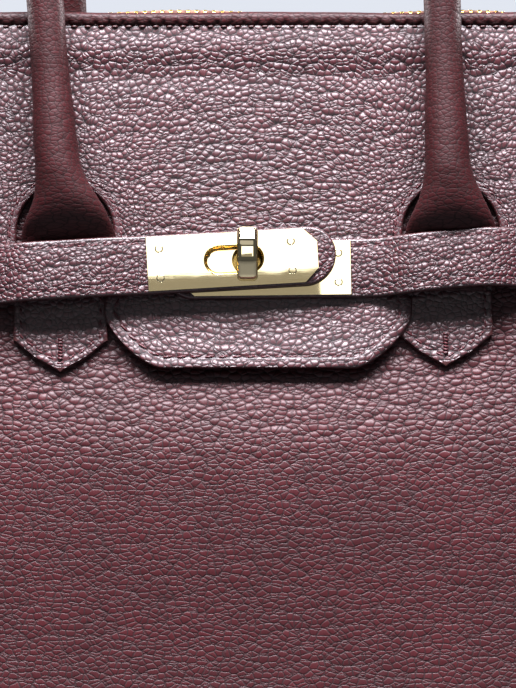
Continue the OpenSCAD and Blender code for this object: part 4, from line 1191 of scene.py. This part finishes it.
front_roll = rim_roll("rim_roll_front", on_front, FLAP_FACE, 1)
back_roll = rim_roll("rim_roll_back", on_back, 0.0, 2)
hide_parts("rim_binding_front")
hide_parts("rim_binding_back")
print("rolled rims:", len(front_roll.data.polygons), "faces each")

# %% [markdown]
# ## Lining and pocket
# The bag is lined with thin tan leather, sewn in below the rim, with one flat slip
# pocket on the back wall. The lining is the body's own shape, drawn in by a few
# millimetres, so it needs no drawing of its own.

# %% Lining and pocket
LINING_IN, LINING_DROP, LINING_CORNER, LINING_T = 4.3, 11.3, 5.0, 0.8
POCKET_W, POCKET_TOP, POCKET_FOOT = 140.0, 52.0, 147.0
POCKET_OUT, POCKET_T, POCKET_SEAM = 5.2, 0.9, 3.0


def box(low_x, low_y, high_x, high_y):
    """The corners of an upright rectangle."""
    return np.array([(low_x, low_y), (high_x, low_y), (high_x, high_y), (low_x, high_y)])


lining = body_skin(
    "goatskin_lining", LINING_IN, 1 - LINING_DROP / BODY_H, 34, LINING_CORNER, LINING_LEATHER, LINING_T
)
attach(lining, "bag")
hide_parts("lining")


def at_pocket(x, v, h):
    """The pocket lies flat on the inside of the back wall."""
    return on_back(x, v, -POCKET_OUT - h)


half_w, top_v, foot_v = POCKET_W / 2, PANEL_L - POCKET_TOP, PANEL_L - POCKET_FOOT
pocket = leather_sheet(
    "slip_pocket", box(-half_w, foot_v, half_w, top_v), at_pocket, [LINING_LEATHER] * 2, POCKET_T,
    step=4.0, rim=0.4,
)
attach(pocket, "bag")
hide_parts("inner_pocket")
seam_x, seam_v = half_w - POCKET_SEAM, foot_v + POCKET_SEAM
pocket_line = [(-seam_x, top_v), (-seam_x, seam_v), (seam_x, seam_v), (seam_x, top_v)]
stitch_row("slip_pocket_thread", resample(pocket_line, 2.0, closed=False), at_pocket, POCKET_T, "bag")
print("lining:", len(lining.data.polygons), "faces, pocket", len(pocket.data.polygons))

# %% [markdown]
# ## Zip tapes
# Each tape is a woven strip sewn inside the rim, with the teeth clamped on its free
# edge. It waves softly along the open mouth, then turns flat where the two sides meet.
# The teeth stay the CAD ones, so the tape follows the same line, drawn finer. The zip
# ends in a small folded tab of handle leather, cut with the sheet helper.

# %% Zip tapes
TAPE_IN, TAPE_W, TAPE_T, TAPE_RISE = 3.4, 13.0, 0.6, 2.0
START_X, TURN_X, PAIR_X, MESH_X, END_X = -106.8, 76.0, 104.0, 122.0, 133.5
PAIR_GAP, MESH_GAP, MESH_RUN = 5.0, 2.0, 6.5
WAVE_H, WAVE_L, WAVE_CREST_X = 0.8, 90.0, -24.0
FREE_EDGE_UP, FLAT_RISE, SEWN_EDGE_Y = 1.7, 2.4, 14.0
TAPE_POINTS, TAPE_EDGE_SHARE = 10, 0.75


def zip_edges(x):
    """The tape's free edge and its sewn edge at a place along the bag, for the front tape."""
    turn = ease((x - TURN_X) / (PAIR_X - TURN_X))
    gap = mix(PAIR_GAP, MESH_GAP, ease((x - MESH_X + MESH_RUN) / MESH_RUN)) / 2
    wave = TAPE_RISE + WAVE_H * math.cos(2 * math.pi * (x - WAVE_CREST_X) / WAVE_L)
    free = on_front(x, PANEL_L + wave, -TAPE_IN - TAPE_T / 2) / MM + [0, 0, FREE_EDGE_UP * (1 - turn)]
    sewn = on_front(x, PANEL_L - TAPE_W + TAPE_RISE, -TAPE_IN - TAPE_T / 2) / MM
    flat_z = RIM_Z + FLAT_RISE
    return (
        np.array([x, mix(free[1], -gap, turn), mix(free[2], flat_z, ease(turn))]),
        np.array([x, mix(sewn[1], -SEWN_EDGE_Y, turn), mix(sewn[2], flat_z, turn)]),
    )


def zip_tape(name, mirror):
    """A strip with two faces, thinner at both edges, from the open end to the end tab."""
    points, uv = [], []
    places = np.concatenate([np.linspace(START_X, TURN_X, 150)[:-1], np.linspace(TURN_X, END_X, 70)])
    up_and_back = [(i, 1) for i in range(TAPE_POINTS)] + [(i, -1) for i in reversed(range(TAPE_POINTS))]
    for x in places:
        free, sewn = zip_edges(x)
        d = (free - sewn) / np.linalg.norm(free - sewn)
        half_t = np.array([0, -d[2], d[1]]) * TAPE_T / 2
        for i, face in up_and_back:
            s = i / (TAPE_POINTS - 1)
            p = mix(sewn, free, s) + half_t * face * (TAPE_EDGE_SHARE if s in (0, 1) else 1.0)
            points.append((p[0], p[1] * mirror, p[2]))
            uv.append((x * MM, s * TAPE_W * MM))
    faces = skin_faces(len(places), 2 * TAPE_POINTS, outward=mirror > 0)
    made = make_object(name, np.array(points) * MM, faces, uv, [TAPE])
    made.data.set_sharp_from_angle(angle=math.radians(50))
    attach(made, "bag")
    return made


for word, mirror in (("front", 1), ("back", -1)):
    tape = zip_tape(f"woven_tape_{word}", mirror)
    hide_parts(f"zip_tape_{word}")
print("zip tapes:", len(tape.data.polygons), "faces each")

# %% Zip end tab
END_TAB = (129.9, -15.3, 144.7, 15.3)
END_TAB_SEAM = (132.6, -12.8, 142.2, 12.8)
END_TAB_T = 4.0


def flat_above(x, y, h):
    """Laid flat just above the rim's height."""
    x, y, h = np.broadcast_arrays(x, y, h)
    return np.stack([x, y, RIM_Z + SEWN_GAP + h], -1) * MM


end_tab = leather_sheet(
    "zip_end_fold", box(*END_TAB), flat_above, [HANDLE_LEATHER, EDGE], END_TAB_T, step=1.6, rim=1.2
)
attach(end_tab, "bag")
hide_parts("zip_end_tab")
tab_line = resample(box(*END_TAB_SEAM), 1.0)
stitch_row("zip_end_thread", tab_line, flat_above, END_TAB_T, "bag", closed=True, pitch=3.4)
print("end tab:", len(end_tab.data.polygons), "faces")

# %% [markdown]
# ## Metal pieces and the hidden ones
# The plates, the turning bar, its post, the rivets, the feet and the zip's metal parts are
# exact in the CAD, so they stay. A small bevel on each breaks the sharp edge, as
# buffing does. The board in the base and the lock's backing are hidden, and still get
# the material that they have on the bench.

# %% Materials on the imported nodes
STEEL = plated_metal("zinc_plated_steel", "#b9bcc0", "#9a9da2", 0.3, 0.01, 0.02)
FINISHES = {
    "strap_left_plate": (PLATE, 0.3), "strap_right_plate": (PLATE, 0.3),
    "strap_left_rivets": (PLATE, 0.3), "strap_right_rivets": (PLATE, 0.3),
    "lock_toggle": (PLATE, 1.5), "lock_post": (PLATE, 0.6),
    "lock_base_plate": (BRASS, 0.15), "lock_backing": (STEEL, 0.1),
    "feet": (BRASS, 0.4), "zip_teeth_front": (BRASS, 0.12), "zip_teeth_back": (BRASS, 0.12),
    "zip_stops": (BRASS, 0.15), "zip_slider": (BRASS, 0.3), "zip_pull": (BRASS, 0.3),
    "base_stiffener": (BOARD, 0.3), "flap_lining": (LINING_LEATHER, 0.1),
}
JOINED_WITHIN = 0.002
FLAT_WITHIN, BEVEL_ABOVE = math.radians(1), math.radians(20)
for name, (material, bevel_mm) in FINISHES.items():
    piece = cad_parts[name]
    piece.data.materials.clear()
    piece.data.materials.append(material)
    modify(piece, "joined faces", "WELD", merge_threshold=JOINED_WITHIN * MM)
    modify(piece, "whole flat faces", "DECIMATE", decimate_type="DISSOLVE", angle_limit=FLAT_WITHIN)
    modify(
        piece, "broken edge", "BEVEL", width=bevel_mm * MM, segments=5, limit_method="ANGLE",
        angle_limit=BEVEL_ABOVE, use_clamp_overlap=name != "lock_toggle",
    )
    modify(piece, "even shading", "WEIGHTED_NORMAL", keep_sharp=False)
print(len(FINISHES), "packed pieces given their finish")

# %% [markdown]
# ## The slot's rolled edge
# The edge of the plate's slot is rolled inward, so the turning bar slides through
# without a sharp lip. It shows as a soft brown-gold wall inside the slot. The roll is a
# small curved profile carried round the slot's outline.

# %% Rolled slot edge
# The lip cut across: how far it grows past the slot, and how far out it stands.
LIP = [
    (0.15, 9.2), (0.0, 9.42), (-0.25, 9.34), (-0.6, 9.0),
    (-0.9, 8.4), (-1.05, 7.6), (-0.9, 7.3), (0.15, 7.3),
]
tilt = math.radians(TILTS[-1])
rings, uv = [], []
for grow, out in LIP:
    loop = slot_loop(SLOTS[-1] - LOCK_X, 0, SLOT_L + 2 * grow, SLOT_W + 2 * grow)
    x = LOCK_X + loop[:, 0] * math.cos(tilt) - loop[:, 1] * math.sin(tilt)
    v = STRAP_V + loop[:, 0] * math.sin(tilt) + loop[:, 1] * math.cos(tilt)
    rings.append(on_front(x, v, out))
    uv.append(np.stack([x, v + out], 1) * MM)
faces = skin_faces(len(LIP), len(rings[0]), ends=0, looped=True)
rolled_slot = make_object("rolled_slot_edge", np.vstack(rings), faces, np.vstack(uv), [BRASS])
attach(rolled_slot, "bag")
print("rolled slot edge:", len(faces), "faces")

# %% [markdown]
# ## Camera
# The photograph is a level close-up, a little above half the body's height. A long lens
# from more than a metre keeps the belts and handle legs as parallel as they look there.

# %% Camera
CAMERA_AT, LENS_MM, FILM_H_MM = (0.0, -1.20, 0.1243), 185.0, 36.0
scene = bpy.context.scene
scene.view_settings.view_transform = "Standard"
lens = bpy.data.cameras.new("close_up")
lens.sensor_fit = "VERTICAL"
lens.sensor_height = FILM_H_MM
lens.lens = LENS_MM
lens.clip_start = 0.05
camera = bpy.data.objects.new("close_up", lens)
camera.location = CAMERA_AT
camera.rotation_euler = (math.radians(90), 0, 0)
scene.collection.objects.link(camera)
scene.camera = camera
print("camera at", tuple(round(c, 3) for c in camera.location))

# %% [markdown]
# ## Light and backdrop
# A wide soft panel hangs above and in front of the bag, and a faint one fills in from
# the front left. A white card stands behind the camera and above it, and a dimmer one
# reaches below it, so the mirror plates show white above and a darker band below, as
# polished metal does in a studio. The room itself is dim, which keeps the shadows under
# the belts deep. Two panels stand behind the bag, one at each side: they light the back
# and the gussets and leave the front alone. Floor and backdrop are plain and pale.


# %% Light panels and cards
def soft_panel(name, at, towards, size, watts, tint):
    """A rectangular light, its size in metres, turned towards a point."""
    light = bpy.data.lights.new(name, "AREA")
    light.shape = "RECTANGLE"
    light.size, light.size_y = size
    light.energy = watts
    light.color = colour(tint)[:3]
    made = bpy.data.objects.new(name, light)
    made.location = at
    made.rotation_euler = (Vector(towards) - Vector(at)).to_track_quat("-Z", "Y").to_euler()
    scene.collection.objects.link(made)
    return made


def flat_piece(name, corners, material):
    """One flat face in the studio, its corners in metres."""
    mesh = bpy.data.meshes.new(name)
    mesh.from_pydata(corners, [], [tuple(range(len(corners)))])
    mesh.materials.append(material)
    made = bpy.data.objects.new(name, mesh)
    scene.collection.objects.link(made)
    return made


def studio_card(name, corners, tint, strength):
    """A flat card that gives light of its own and shows in the polished metal."""
    made, tree, shader = new_material(name)
    output = shader.outputs[0].links[0].to_node
    tree.nodes.remove(shader)
    weave = node(tree, "TexNoise", {"Scale": 3.0, "Detail": 1.0})
    even = {"Value": weave, "To Min": strength * 0.96, "To Max": strength * 1.04}
    glow = {"Color": colour(tint), "Strength": node(tree, "MapRange", even, **SOFT_ENDS)}
    feed(tree, output, {"Surface": node(tree, "Emission", glow)})
    card = flat_piece(name, corners, made)
    card.visible_camera = False
    card.visible_diffuse = False
    return card


top_panel = soft_panel("panel_above", (0.0, -0.47, 1.10), (0, -0.08, 0.16), (1.1, 0.34), 90.0, "#f6f7ff")
left_panel = soft_panel("panel_front", (-0.25, -1.0, 0.85), (0, 0, 0.14), (0.8, 0.35), 0.5, "#f4f4ff")
for side, word in SIDES:
    at, towards = (side * 1.25, 0.75, 0.85), (side * 0.06, 0.05, 0.14)
    soft_panel(f"panel_behind_{word}", at, towards, (0.9, 0.7), 46.0, "#fbfbff")
# Corners as x and height, in metres: the white card's lower edge slants, and drops on the right.
WHITE_CARD = [
    (-0.15, 0.5093), (0.043, 0.5202), (0.045, 0.49), (0.12, 0.49), (0.12, 0.565), (-0.15, 0.565),
]
DIM_CARD = [(-0.16, 0.42), (0.14, 0.42), (0.14, 0.53), (-0.16, 0.53)]
WHITE_CARD_Y, DIM_CARD_Y = -1.35, -1.36
card = studio_card("white_card", [(x, WHITE_CARD_Y, z) for x, z in WHITE_CARD], "#fbfcff", 2.7)
low_card = studio_card("dim_card", [(x, DIM_CARD_Y, z) for x, z in DIM_CARD], "#7d7a76", 1.9)

# %% Floor and backdrop
SEEN_IN_REFLECTION = 0.1
FLOOR_REACH, FLOOR_GLOW = 3.0, 0.42


def backdrop_share(tree):
    """How much of the pale backdrop a ray sees: all from the camera, and a little in a reflection."""
    path = node(tree, "LightPath").outputs
    direct = {0: path["Is Camera Ray"], 1: path["Is Transmission Ray"]}
    mirrored = {0: path["Is Glossy Ray"], 1: SEEN_IN_REFLECTION}
    either = {
        0: node(tree, "Math", direct, operation="MAXIMUM"),
        1: node(tree, "Math", mirrored, operation="MULTIPLY"),
    }
    return node(tree, "Math", either, operation="MAXIMUM")


def paper(name, pale, dark, rough):
    """Paper that looks pale to the camera and throws little light back on the bag."""
    made, tree, shader = new_material(name)
    fibre = node(tree, "TexNoise", {"Scale": 40.0, "Detail": 3.0})
    share = backdrop_share(tree)
    patches = {"Value": fibre, "From Min": 0.3, "From Max": 0.7, "To Max": 0.4}
    mottling = node(tree, "MapRange", patches, **SOFT_ENDS)
    tint = {SHARE: mottling, FIRST: colour(pale[0]), SECOND: colour(pale[1])}
    mottled = node(tree, "Mix", tint, **COLOURS).outputs[MIXED]
    tint = {SHARE: share, FIRST: colour(dark), SECOND: mottled}
    feed(tree, shader, {
        "Base Color": node(tree, "Mix", tint, **COLOURS).outputs[MIXED],
        "Roughness": rough,
        "Emission Color": colour("#dfe4ee"),
        "Emission Strength": node(tree, "Math", {0: share, 1: FLOOR_GLOW}, operation="MULTIPLY"),
    })
    return made


PAPER = paper("paper_floor", ("#54575d", "#505359"), "#1c1c1e", 0.6)
floor_corners = [(-1, -1), (1, -1), (1, 1), (-1, 1)]
floor = flat_piece("paper_floor", [(x * FLOOR_REACH, y * FLOOR_REACH, 0) for x, y in floor_corners], PAPER)
world = bpy.data.worlds.new("studio")
scene.world = world
world.use_nodes = True
tree = world.node_tree
tree.nodes.clear()
seen = node(tree, "Background", {"Color": colour("#e2e7f1"), "Strength": 1.0})
dim = node(tree, "Background", {"Color": colour("#8b8a8c"), "Strength": 0.03})
picked = node(tree, "MixShader", {0: backdrop_share(tree), 1: dim, 2: seen})
node(tree, "OutputWorld", {"Surface": picked})
print("lights and stage set")
